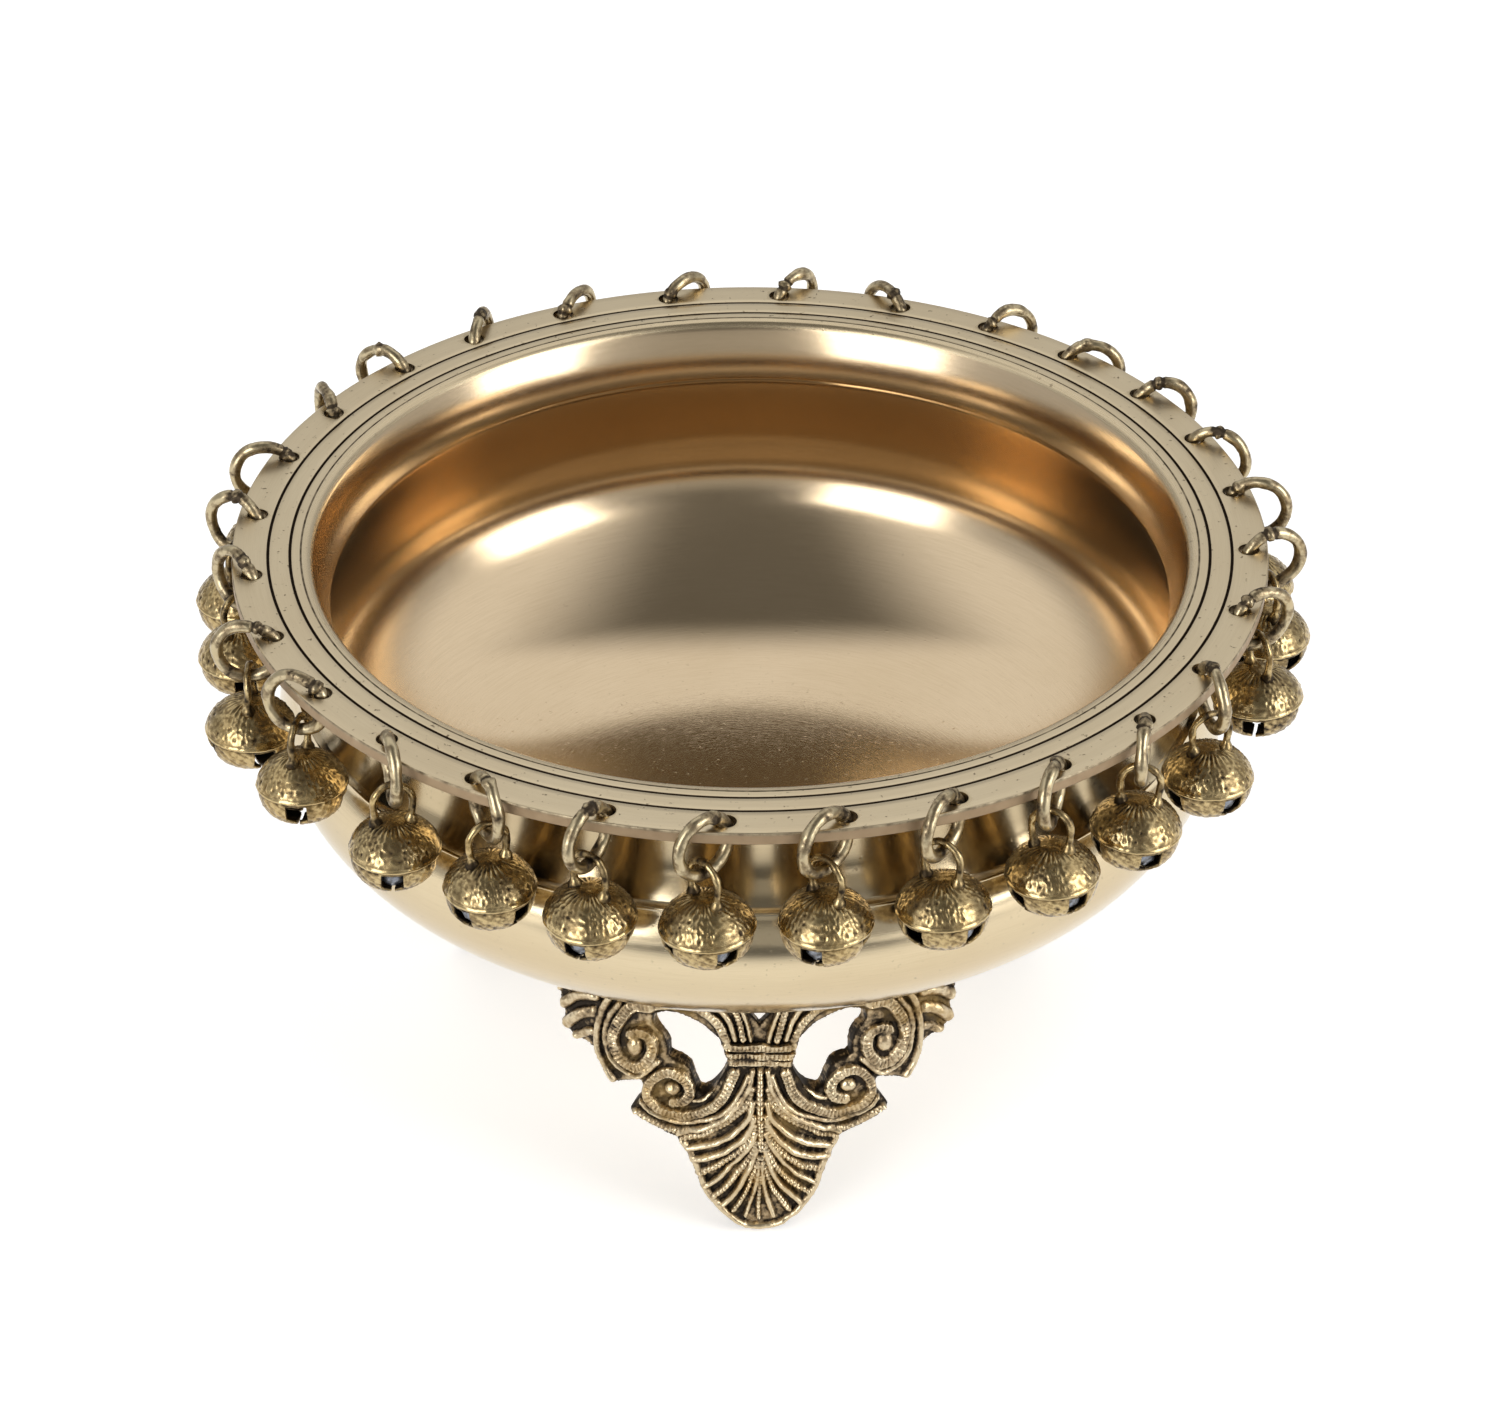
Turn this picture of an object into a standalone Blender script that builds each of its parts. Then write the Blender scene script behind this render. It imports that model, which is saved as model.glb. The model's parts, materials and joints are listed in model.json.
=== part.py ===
"""Brass urli: a wide festive bowl on three cast legs, with bells ringed through its rim.

Metres, +Z up.  The origin is on the floor, on the bowl's axis.
Azimuths are degrees about +Z from +X.  The front leg stands at azimuth -90.
"""

import math

import bmesh
import bpy
from mathutils import Matrix, Vector

# ---------------------------------------------------------------- driving dimensions

GAP = 0.0003                # clearance between a cut piece and its neighbour
RIM_HEIGHT = 0.1195         # floor to the top of the flange

FLANGE_RADIUS = 0.1016      # an 8 inch bowl
FLANGE_INNER_RADIUS = 0.0864
FLANGE_THICKNESS = 0.0026
THROAT_RADIUS = 0.0828      # narrowest point of the inside
THROAT_DEPTH = 0.0117
NECK_TOP_RADIUS = 0.0894    # outside of the neck, right under the flange
NECK_WAIST_RADIUS = 0.0862
NECK_WAIST_DEPTH = 0.0132
SHOULDER_RADIUS = 0.0906    # crisp edge between the neck and the belly
SHOULDER_DEPTH = 0.02605
BELLY_RADIUS = 0.0940       # the belly is half of a flattened spheroid
BELLY_DROP = 0.0385
BELLY_CENTRE_DEPTH = 0.0363
BOWL_WALL = 0.0026
FLOOR_FLAT_RADIUS = 0.012
BOWL_STEPS = 48

HOLE_CIRCLE_RADIUS = 0.0978
HOLE_RADIUS = 0.0024
HOLE_SIDES = 8
# The rim is drilled by hand, so the holes are unevenly spaced.  Clockwise from the front.
HOLE_AZIMUTHS = [
    -94.3, -107.3, -122.6, -135.1, -147.0, -160.1, -173.5,
    -186.7, -200.0, -211.3, -224.7, -235.5, -247.9, -261.5,
    -275.3, -290.7, -302.4, -314.2, -326.7, -338.8, -351.5,
    -364.4, -377.6, -390.7, -403.0, -416.0, -429.0, -441.4,
]
# Each ring hangs turned this far from pointing straight out, in degrees.
RING_TURNS = [
    -48, -20, 55, 55, -55, -22, -55,
    -18, 24, -40, 12, -50, -55, -55,
    -38, 55, -30, -50, -38, -42, -20,
    20, 42, -42, -55, -55, -55, -55,
]

RING_RADIUS = 0.00585       # to the middle of the wire
RING_WIRE_RADIUS = 0.0012
RING_OFFSET = 0.0051        # ring centre, outwards from the hole's axis
RING_DEPTH = 0.0032         # ring centre, below the top of the flange
RING_STEPS = 12
RING_WIRE_SIDES = 5

BELL_RADIUS = 0.00885       # at the seam
BELL_CAP_RADIUS = 0.0026
BELL_CAP_DROP = 0.0052      # all drops are measured down from the ring's wire
BELL_SEAM_DROP = 0.0118
BELL_LOWER_DEPTH = 0.0070
BELL_MOUTH_RADIUS = 0.0026
BELL_WALL = 0.0008
BELL_SLOTS = 4
BELL_SLOT_ANGLE = 26.0
LOOP_RADIUS = 0.00375
LOOP_WIRE_RADIUS = 0.0006
LOOP_STEPS = 9
LOOP_WIRE_SIDES = 5

LEG_RADIUS = 0.0650         # bowl's axis to the middle of a leg, which curves about it
LEG_THICKNESS = 0.0040
LEG_FRONT = LEG_RADIUS + LEG_THICKNESS / 2
LEG_BACK = LEG_RADIUS - LEG_THICKNESS / 2
LEG_STRIP = 0.0072          # widest flat strip of the curved leg
LEG_AZIMUTHS = {"leg_front": -90.0, "leg_back_right": 30.0, "leg_back_left": 150.0}
BOSS_RISE = 0.0012          # how far scrolls, shell and band stand out of the leg


# ---------------------------------------------------------------- materials

def brass(name, colour, roughness):
    """A Principled brass of one colour and roughness."""
    material = bpy.data.materials.new(name)
    material.use_nodes = True
    shader = material.node_tree.nodes["Principled BSDF"]
    shader.inputs["Base Color"].default_value = (*colour, 1.0)
    shader.inputs["Metallic"].default_value = 1.0
    shader.inputs["Roughness"].default_value = roughness
    return material


# ---------------------------------------------------------------- helpers

def link(name, mesh, material, matrix=None):
    """Put a mesh in the scene as a named object with one material."""
    mesh.materials.clear()
    mesh.materials.append(material)
    node = bpy.data.objects.new(name, mesh)
    if matrix is not None:
        node.matrix_world = matrix
    bpy.context.scene.collection.objects.link(node)
    return node


def finish_mesh(name, form, smooth_angle=35.0):
    """Turn a bmesh into a mesh with outward faces, smooth but for its sharp edges."""
    bmesh.ops.recalc_face_normals(form, faces=form.faces)
    mesh = bpy.data.meshes.new(name)
    form.to_mesh(mesh)
    form.free()
    mesh.shade_smooth()
    mesh.set_sharp_from_angle(angle=math.radians(smooth_angle))
    return mesh


def as_cutter(node):
    """Mark an object as a tool that isn't part of the model."""
    node.hide_render = True
    node.display_type = "WIRE"


def boolean(target, tool, operation):
    modifier = target.modifiers.new(operation.lower(), "BOOLEAN")
    modifier.operation = operation
    modifier.solver = "EXACT"
    modifier.object = tool


def bake(target):
    """Replace the object's mesh by its evaluated one, and drop the modifiers."""
    graph = bpy.context.evaluated_depsgraph_get()
    mesh = bpy.data.meshes.new_from_object(target.evaluated_get(graph))
    target.modifiers.clear()
    target.data = mesh
    return mesh


def turned(profile, steps):
    """Spin a list of (radius, height) points about Z.  A radius of 0 becomes a pole."""
    form = bmesh.new()
    points = [form.verts.new((radius, 0.0, height)) for radius, height in profile]
    edges = [form.edges.new(pair) for pair in zip(points, points[1:])]
    bmesh.ops.spin(form, geom=points + edges, axis=(0, 0, 1), cent=(0, 0, 0),
                   steps=steps, angle=math.tau, use_duplicate=False)
    bmesh.ops.remove_doubles(form, verts=form.verts, dist=1e-6)
    return form


def torus(radius, wire_radius, steps, sides, centre_height=0.0):
    """A closed ring of wire standing in the XZ plane."""
    form = bmesh.new()
    rows = []
    for step in range(steps):
        turn = math.tau * step / steps
        outwards = Vector((math.cos(turn), 0.0, math.sin(turn)))
        row = []
        for side in range(sides):
            around = math.tau * side / sides
            offset = outwards * (radius + wire_radius * math.cos(around))
            offset.y = wire_radius * math.sin(around)
            offset.z += centre_height
            row.append(form.verts.new(offset))
        rows.append(row)
    for step in range(steps):
        row, following = rows[step], rows[(step + 1) % steps]
        for side in range(sides):
            beside = (side + 1) % sides
            form.faces.new((row[side], row[beside], following[beside], following[side]))
    return form


# ---------------------------------------------------------------- bowl

def spheroid(radius, drop, start_radius, end_depth, points):
    """Points on the belly's curve, from a start radius at the bottom up to a depth."""
    start = -math.acos(start_radius / radius)
    end = math.asin((BELLY_CENTRE_DEPTH - end_depth) / drop)
    curve = []
    for index in range(points):
        angle = start + (end - start) * index / (points - 1)
        height = RIM_HEIGHT - BELLY_CENTRE_DEPTH + drop * math.sin(angle)
        curve.append((radius * math.cos(angle), height))
    return curve


def cove(start, waist, end, points):
    """A shallow concave curve through three (radius, depth) points."""
    (r0, d0), (r1, d1), (r2, d2) = start, waist, end
    curve = []
    for index in range(points):
        depth = d0 + (d2 - d0) * index / (points - 1)
        weight0 = (depth - d1) * (depth - d2) / ((d0 - d1) * (d0 - d2))
        weight1 = (depth - d0) * (depth - d2) / ((d1 - d0) * (d1 - d2))
        weight2 = (depth - d0) * (depth - d1) / ((d2 - d0) * (d2 - d1))
        curve.append((weight0 * r0 + weight1 * r1 + weight2 * r2, RIM_HEIGHT - depth))
    return curve


def bowl_profile():
    """The bowl's section: up the outside, over the flange and down the inside."""
    outer_floor = RIM_HEIGHT - BELLY_CENTRE_DEPTH - BELLY_DROP
    inner_radius = BELLY_RADIUS - BOWL_WALL
    inner_drop = BELLY_DROP - BOWL_WALL
    outside = spheroid(BELLY_RADIUS, BELLY_DROP, FLOOR_FLAT_RADIUS * 2, SHOULDER_DEPTH, 9)
    neck = cove((NECK_TOP_RADIUS, FLANGE_THICKNESS), (NECK_WAIST_RADIUS, NECK_WAIST_DEPTH),
                (SHOULDER_RADIUS - 0.0012, SHOULDER_DEPTH - 0.0009), 4)
    flange = [(FLANGE_RADIUS, RIM_HEIGHT - FLANGE_THICKNESS), (FLANGE_RADIUS, RIM_HEIGHT),
              (FLANGE_INNER_RADIUS, RIM_HEIGHT)]
    throat = [(FLANGE_INNER_RADIUS - 0.0018, RIM_HEIGHT - 0.0030),
              (THROAT_RADIUS, RIM_HEIGHT - THROAT_DEPTH)]
    inside = spheroid(inner_radius, inner_drop, FLOOR_FLAT_RADIUS,
                      SHOULDER_DEPTH + 0.001, 8)
    profile = [(0.0, outer_floor)] + outside + neck[::-1] + flange + throat
    profile += inside[::-1] + [(0.0, inside[0][1])]
    return profile


def rim_holes():
    """One cutter with a prism for every hole in the flange."""
    form = bmesh.new()
    for azimuth in HOLE_AZIMUTHS:
        turn = Matrix.Rotation(math.radians(azimuth), 4, "Z")
        place = turn @ Matrix.Translation((HOLE_CIRCLE_RADIUS, 0, RIM_HEIGHT))
        spin = Matrix.Rotation(math.pi / HOLE_SIDES, 4, "Z")
        bmesh.ops.create_cone(form, cap_ends=True, segments=HOLE_SIDES,
                              radius1=HOLE_RADIUS, radius2=HOLE_RADIUS,
                              depth=4 * FLANGE_THICKNESS, matrix=place @ spin)
    return form


def make_bowl(material):
    bowl = link("bowl", finish_mesh("bowl", turned(bowl_profile(), BOWL_STEPS)), material)
    drill = link("rim_drill", finish_mesh("rim_drill", rim_holes()), material)
    as_cutter(drill)
    boolean(bowl, drill, "DIFFERENCE")
    return bowl


# ---------------------------------------------------------------- rings and bells

def ring_matrix(azimuth, turn):
    """Ring frame: origin on the hole's axis at the flange's top, +X along the ring."""
    place = Matrix.Rotation(math.radians(azimuth), 4, "Z")
    place = place @ Matrix.Translation((HOLE_CIRCLE_RADIUS, 0, RIM_HEIGHT))
    return place @ Matrix.Rotation(math.radians(turn), 4, "Z")


def make_ring_mesh():
    form = torus(RING_RADIUS, RING_WIRE_RADIUS, RING_STEPS, RING_WIRE_SIDES)
    bmesh.ops.translate(form, verts=form.verts, vec=(RING_OFFSET, 0, -RING_DEPTH))
    return finish_mesh("jump_ring", form, 80.0)


def bell_columns():
    """Azimuths of the bell's corner columns, and whether a slot follows each."""
    columns = []
    quarter = 360.0 / BELL_SLOTS
    petal = (quarter - BELL_SLOT_ANGLE) / 2
    for slot in range(BELL_SLOTS):
        start = slot * quarter + 45.0 - BELL_SLOT_ANGLE / 2
        columns.append((start, True))
        columns.append((start + BELL_SLOT_ANGLE, False))
        columns.append((start + BELL_SLOT_ANGLE + petal, False))
    return columns


def bell_levels():
    """(radius, drop) of the outer skin from the cap down, and of the inner skin."""
    window = BELL_SEAM_DROP + 0.0010
    waist = BELL_SEAM_DROP + 0.0045
    mouth = BELL_SEAM_DROP + BELL_LOWER_DEPTH
    outer = [(BELL_CAP_RADIUS, BELL_CAP_DROP), (0.0064, 0.0083), (BELL_RADIUS, BELL_SEAM_DROP),
             (BELL_RADIUS - 0.0004, window), (0.0065, waist), (BELL_MOUTH_RADIUS, mouth)]
    inner = [(0.0022, BELL_CAP_DROP + BELL_WALL + 0.0002),
             (BELL_RADIUS - BELL_WALL, BELL_SEAM_DROP),
             (BELL_RADIUS - 0.0004 - BELL_WALL, window), (0.0065 - BELL_WALL, waist),
             (BELL_MOUTH_RADIUS, mouth - BELL_WALL)]
    return outer, inner


def skin(form, levels, columns):
    """Rings of vertices for one skin of the bell, level by level."""
    rows = []
    for radius, drop in levels:
        row = []
        for azimuth, _ in columns:
            angle = math.radians(azimuth)
            row.append(form.verts.new((radius * math.cos(angle), radius * math.sin(angle), -drop)))
        rows.append(row)
    return rows


def make_bell_mesh(material):
    """A hollow bell with a closed dome, four slots up from its mouth and a wire loop."""
    columns = bell_columns()
    outer_levels, inner_levels = bell_levels()
    form = bmesh.new()
    outer = skin(form, outer_levels, columns)
    inner = skin(form, inner_levels, columns)
    form.faces.new(outer[0])
    form.faces.new(inner[0][::-1])
    count = len(columns)
    slotted = 2                 # the last two bands of each skin are open at the slots
    for rows in (outer, inner):
        bands = len(rows) - 1
        for band in range(bands):
            for column in range(count):
                if columns[column][1] and band >= bands - slotted:
                    continue
                beside = (column + 1) % count
                form.faces.new((rows[band][column], rows[band][beside],
                                rows[band + 1][beside], rows[band + 1][column]))
    for column in range(count):
        beside = (column + 1) % count
        if not columns[column][1]:
            form.faces.new((outer[-1][column], outer[-1][beside],
                            inner[-1][beside], inner[-1][column]))
            continue
        form.faces.new((outer[-3][column], outer[-3][beside],
                        inner[-3][beside], inner[-3][column]))
        for edge in (column, beside):
            for band in (-3, -2):
                form.faces.new((outer[band][edge], inner[band][edge],
                                inner[band + 1][edge], outer[band + 1][edge]))
    shell = link("bell_shell", finish_mesh("bell", form), material)
    loop_centre = RING_WIRE_RADIUS + GAP + LOOP_WIRE_RADIUS - LOOP_RADIUS
    loop = torus(LOOP_RADIUS, LOOP_WIRE_RADIUS, LOOP_STEPS, LOOP_WIRE_SIDES, loop_centre)
    bmesh.ops.rotate(loop, verts=loop.verts, cent=(0, 0, 0),
                     matrix=Matrix.Rotation(math.pi / 2, 3, "Z"))
    loop_node = link("bell_loop", finish_mesh("bell_loop", loop, 80.0), material)
    boolean(shell, loop_node, "UNION")
    mesh = bake(shell)
    bpy.data.objects.remove(shell)
    bpy.data.objects.remove(loop_node)
    return mesh


def make_rings_and_bells(ring_material, bell_material):
    """Every ring hangs in its hole, and carries its bell at its lowest point."""
    ring_mesh = make_ring_mesh()
    bell_mesh = make_bell_mesh(bell_material)
    hinge = Matrix.Translation((RING_OFFSET, 0, -RING_DEPTH - RING_RADIUS))
    for number, (azimuth, turn) in enumerate(zip(HOLE_AZIMUTHS, RING_TURNS), 1):
        frame = ring_matrix(azimuth, turn)
        ring = link(f"ring_{number:02d}", ring_mesh, ring_material, frame)
        bell = link(f"bell_{number:02d}", bell_mesh, bell_material)
        bell.parent = ring
        bell.matrix_local = hinge


# ---------------------------------------------------------------- legs

# Half of the leg's outline, in mm: (arc from its middle, height above the floor), toe first.
LEG_OUTLINE = [
    (3.4, 0.0), (7.1, 3.6), (10.1, 7.1), (11.8, 10.2), (14.5, 17.6), (16.0, 21.2), (19.2, 22.0),
    (23.8, 24.0), (25.9, 26.0), (24.0, 30.0), (23.7, 34.0), (29.5, 31.9), (31.2, 34.0),
    (32.6, 37.4), (38.7, 40.5), (40.8, 42.8), (41.6, 49.0), (43.0, 58.0),
]
LEG_NOTCH = [(3.6, 58.0), (1.3, 52.4), (0.0, 50.4)]
LEG_OPENING = [
    (21.2, 49.0), (19.2, 45.0), (18.1, 40.5), (14.0, 38.0), (12.0, 33.2), (9.8, 34.0),
    (6.8, 38.8), (6.6, 41.8), (8.1, 46.2), (11.6, 49.4), (17.8, 51.2),
]
# (arc, height, radius) of the rolled scrolls, in mm.
LEG_SCROLLS = [(24.9, 43.4, 4.4), (17.2, 33.0, 3.8)]
# The shell on the front of the leg: half of its corners, in mm.
LEG_SHELL = [(2.8, 1.4), (9.4, 7.6), (12.0, 12.0), (14.6, 20.0), (6.0, 33.0), (2.4, 39.0)]
# The band that ties the arms together: half width, bottom and top, in mm.
LEG_BAND = (6.2, 40.6, 45.6)
MM = 0.001


def plate(outline, holes, near, far):
    """Fill an outline with holes in the XZ plane, between two depths along -Y."""
    curve = bpy.data.curves.new("plate", "CURVE")
    curve.dimensions = "2D"
    curve.fill_mode = "BOTH"
    curve.extrude = (far - near) / 2
    for points in [outline] + holes:
        spline = curve.splines.new("POLY")
        spline.points.add(len(points) - 1)
        for point, (across, up) in zip(spline.points, points):
            point.co = (across * MM, up * MM, 0.0, 1.0)
        spline.use_cyclic_u = True
    node = bpy.data.objects.new("plate", curve)
    bpy.context.scene.collection.objects.link(node)
    graph = bpy.context.evaluated_depsgraph_get()
    mesh = bpy.data.meshes.new_from_object(node.evaluated_get(graph))
    bpy.data.objects.remove(node)
    form = bmesh.new()
    form.from_mesh(mesh)
    bmesh.ops.remove_doubles(form, verts=form.verts, dist=1e-6)
    stand = Matrix.Rotation(math.pi / 2, 4, "X")
    bmesh.ops.transform(form, verts=form.verts, matrix=stand)
    bmesh.ops.translate(form, verts=form.verts, vec=(0, -(near + far) / 2, 0))
    return form


def mirrored(points):
    return [(-across, up) for across, up in reversed(points)]


def scroll_boss(across, up, radius):
    """A low cone lying on the front of the flat leg."""
    boss = bmesh.new()
    place = Matrix.Translation((across * MM, -(LEG_FRONT + BOSS_RISE / 2 - GAP), up * MM))
    lie = Matrix.Rotation(math.pi / 2, 4, "X")
    bmesh.ops.create_cone(boss, cap_ends=True, segments=10, radius1=radius * MM,
                          radius2=radius * 0.7 * MM, depth=BOSS_RISE + 2 * GAP,
                          matrix=place @ lie)
    return boss


def belly_clearance():
    """A solid spheroid, slightly larger than the belly, that trims the tops of the legs."""
    radius, drop = BELLY_RADIUS + GAP, BELLY_DROP + GAP
    low = spheroid(radius, drop, FLOOR_FLAT_RADIUS * 2, BELLY_CENTRE_DEPTH, 14)
    profile = [(0.0, low[0][1] - 0.0001)] + low + [(0.0, low[-1][1])]
    return turned(profile, BOWL_STEPS)


def bend(mesh):
    """Wrap the flat leg round the bowl's axis, in narrow strips."""
    form = bmesh.new()
    form.from_mesh(mesh)
    reach = max(vert.co.x for vert in form.verts)
    strips = int(reach / LEG_STRIP)
    for index in range(-strips, strips + 1):
        geometry = list(form.verts) + list(form.edges) + list(form.faces)
        bmesh.ops.bisect_plane(form, geom=geometry, plane_co=(index * LEG_STRIP, 0, 0),
                               plane_no=(1, 0, 0), dist=1e-6)
    for vert in form.verts:
        turn = vert.co.x / LEG_FRONT
        depth = vert.co.y
        vert.co.x = -depth * math.sin(turn)
        vert.co.y = depth * math.cos(turn)
    bmesh.ops.triangulate(form, faces=form.faces)
    form.to_mesh(mesh)
    form.free()


def trim(leg, tools, operation, material):
    """Apply one Boolean for each tool and remove the tools."""
    nodes = []
    for form in tools:
        tool = link("leg_tool", finish_mesh("leg_tool", form), material)
        boolean(leg, tool, operation)
        nodes.append(tool)
    mesh = bake(leg)
    for node in nodes:
        bpy.data.objects.remove(node)
    return mesh


def make_leg_mesh(material):
    """A plate with raised scrolls, shell and band, bent and trimmed under the belly."""
    notch = LEG_NOTCH + mirrored(LEG_NOTCH[:-1])
    outline = LEG_OUTLINE + notch + mirrored(LEG_OUTLINE)
    openings = [LEG_OPENING, mirrored(LEG_OPENING)]
    blank = plate(outline, openings, LEG_BACK, LEG_FRONT)
    leg = link("leg", finish_mesh("leg", blank), material)
    raised = []
    for across, up, radius in LEG_SCROLLS:
        raised.append(scroll_boss(across, up, radius))
        raised.append(scroll_boss(-across, up, radius))
    width, low, high = LEG_BAND
    band = [(width, low), (width, high), (-width, high), (-width, low)]
    for shape in (LEG_SHELL + mirrored(LEG_SHELL), band):
        raised.append(plate(shape, [], LEG_FRONT - GAP, LEG_FRONT + BOSS_RISE))
    bend(trim(leg, raised, "UNION", material))
    mesh = trim(leg, [belly_clearance()], "DIFFERENCE", material)
    bpy.data.objects.remove(leg)
    return mesh


def make_legs(material):
    mesh = make_leg_mesh(material)
    for name, azimuth in LEG_AZIMUTHS.items():
        link(name, mesh, material, Matrix.Rotation(math.radians(azimuth + 90.0), 4, "Z"))


# ---------------------------------------------------------------- build

def main():
    for node in list(bpy.data.objects):
        bpy.data.objects.remove(node)
    bowl_brass = brass("bowl_brass", (0.78, 0.60, 0.34), 0.28)
    leg_brass = brass("leg_brass", (0.62, 0.50, 0.32), 0.38)
    ring_brass = brass("ring_brass", (0.58, 0.52, 0.40), 0.32)
    bell_brass = brass("bell_brass", (0.66, 0.47, 0.22), 0.34)
    make_bowl(bowl_brass)
    make_legs(leg_brass)
    make_rings_and_bells(ring_brass, bell_brass)


main()
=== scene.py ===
"""The looks of the brass urli: a turned bowl, cast legs, wire rings and jingle bells.

Shapes are worked out in millimetres and turned into metres when a mesh is made.
"""

import json
import math

import bpy
import numpy as np
from mathutils import Matrix, Vector

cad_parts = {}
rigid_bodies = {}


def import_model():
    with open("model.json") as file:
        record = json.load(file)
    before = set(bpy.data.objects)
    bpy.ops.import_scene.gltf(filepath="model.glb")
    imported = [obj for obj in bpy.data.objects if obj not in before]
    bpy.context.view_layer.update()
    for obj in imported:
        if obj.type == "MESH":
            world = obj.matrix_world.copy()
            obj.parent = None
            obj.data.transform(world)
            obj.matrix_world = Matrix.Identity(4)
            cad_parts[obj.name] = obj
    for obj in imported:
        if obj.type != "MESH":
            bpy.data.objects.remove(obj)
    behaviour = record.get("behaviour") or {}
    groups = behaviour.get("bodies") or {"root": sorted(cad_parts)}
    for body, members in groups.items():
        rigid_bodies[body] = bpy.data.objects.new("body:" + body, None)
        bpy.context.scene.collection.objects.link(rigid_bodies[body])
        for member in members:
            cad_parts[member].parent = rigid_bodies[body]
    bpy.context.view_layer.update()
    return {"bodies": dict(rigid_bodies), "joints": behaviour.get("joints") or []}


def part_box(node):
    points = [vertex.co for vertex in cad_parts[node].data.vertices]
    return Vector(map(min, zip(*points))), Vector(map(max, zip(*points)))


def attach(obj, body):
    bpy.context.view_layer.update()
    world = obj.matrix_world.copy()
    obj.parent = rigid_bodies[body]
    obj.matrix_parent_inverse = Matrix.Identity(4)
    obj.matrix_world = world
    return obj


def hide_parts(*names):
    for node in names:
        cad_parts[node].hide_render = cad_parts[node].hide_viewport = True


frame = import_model()

MM = 0.001
JOINTS = {joint["name"]: joint for joint in frame["joints"]}
RIM_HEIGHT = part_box("bowl")[1].z / MM
FLANGE_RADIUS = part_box("bowl")[1].x / MM
BELL_COUNT = sum(name.startswith("bell_") for name in frame["bodies"])

# ---- driving dimensions, in mm

# The bowl, as (radius, depth below the flange's top).
FLANGE_INNER = 86.4
FLANGE_THICKNESS = 2.6
THROAT = (82.8, 11.7)
NECK_TOP_RADIUS = 89.4
NECK_WAIST = (86.2, 13.2)
NECK_FLATTEN = 1.0  # how much straighter than a parabola the neck's middle is
SHOULDER = (90.6, 26.05)
BELLY_RADIUS = 94.0
BELLY_DROP = 38.5
BELLY_CENTRE_DEPTH = 36.3
BOWL_WALL = 2.6
INNER_TOP_RADIUS = 90.0
INNER_TOP_CENTRE = 33.0
INNER_TOP_DROP = 39.2
GROOVES = {94.5: (0.25, 0.4), 90.2: (0.25, 0.4), 88.1: (0.16, 0.12)}  # half width, depth
BOWL_SEGMENTS = 384
HOLE_RADIUS = 1.98
HOLE_FLARE = 0.1

# A ring, and a bell with all drops measured down from the wire that it hangs on.
RING_RADIUS = 5.85
RING_WIRE = 1.2
RING_OFFSET = 5.1
RING_DEPTH = 3.2
LOOP_RADIUS = 3.75
LOOP_WIRE = 0.72
LOOP_CENTRE = -1.65
LOOP_LEG = 5.0  # how far the loop's ends reach down to the dome
CAP_DROP = 5.2
SEAM_DROP = 11.8
BELL_RADIUS = 8.85
BELL_WALL = 0.7
WINDOW_HALF_WIDTH = 2.15
SLIT_HALF_WIDTH = 0.35
PELLET_RADIUS = 2.8
PELLET_OFFSET = (4.0, 2.5)  # from the bell's axis, and below its seam
BELL_LEAN = 2.5  # degrees that a bell hangs out of plumb, at most
BELL_KINDS = {11: 0.15, 12: 0.6, 13: 1.05, 14: -0.35}  # seed: turn of its windows, radians

# A leg, laid flat as (arc along its front, height above the floor).
LEG_FRONT = 67.0
LEG_BACK = 63.0
LEG_MIDDLE = (LEG_FRONT + LEG_BACK) / 2
LEG_AZIMUTHS = {"front": -90.0, "back_right": 30.0, "back_left": 150.0}
LEG_CELL = 0.25  # spacing of the grid that it's modelled on
LEG_HALF_CELLS = 174
LEG_RELIEF = 1.25  # depth of the relief, as a multiple of the strokes' heights
LEG_EASE = 0.9  # radius of the rounded edges of its front
LEG_DRIFT = 0.17  # how far the hand-carved pattern strays, in mm

# ---- colours of the metal

SATIN_BRASS = (0.625, 0.52, 0.345, 1)
# Painted shade: the neck under the flange is tinted darker.
NECK_PAINTED_SHADE = (0.43, 0.34, 0.205, 1)
INNER_BRASS = (0.67, 0.53, 0.355, 1)
RIM_BRASS = (0.64, 0.535, 0.36, 1)
EDGE_BRASS = (0.34, 0.245, 0.15, 1)
CLOUD_TINT = (0.5, 0.37, 0.21, 1)
LATHE_TINT = (0.42, 0.31, 0.17, 1)
SPECK_TINT = (0.11, 0.075, 0.04, 1)
# Grime round the holes, and painted shade in the holes, grooves and the crease under the flange.
GRIME_AND_SHADE_TINT = (0.045, 0.03, 0.018, 1)
GILT_TINT = (0.42, 0.27, 0.09, 1)
IRON, RUSTY_IRON = (0.27, 0.29, 0.33, 1), (0.13, 0.125, 0.12, 1)
# Aged brass: pale, deep and dark colours, share of gilt, roughness, grains to a metre, their depth.
PATINAS = {
    "cast_patina": ((0.62, 0.51, 0.335, 1), (0.33, 0.245, 0.145, 1), (0.035, 0.027, 0.02, 1),
                    0.42, 0.28, 700.0, 0.00012),
    "wire_patina": ((0.5, 0.415, 0.26, 1), (0.26, 0.2, 0.12, 1), (0.06, 0.045, 0.03, 1),
                    0.25, 0.28, 900.0, 0.00006),
    "stamped_patina": ((0.52, 0.4, 0.205, 1), (0.23, 0.165, 0.08, 1), (0.035, 0.025, 0.016, 1),
                       0.25, 0.22, 800.0, 0.00006),
}

# ---- the studio, in metres and degrees

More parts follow.
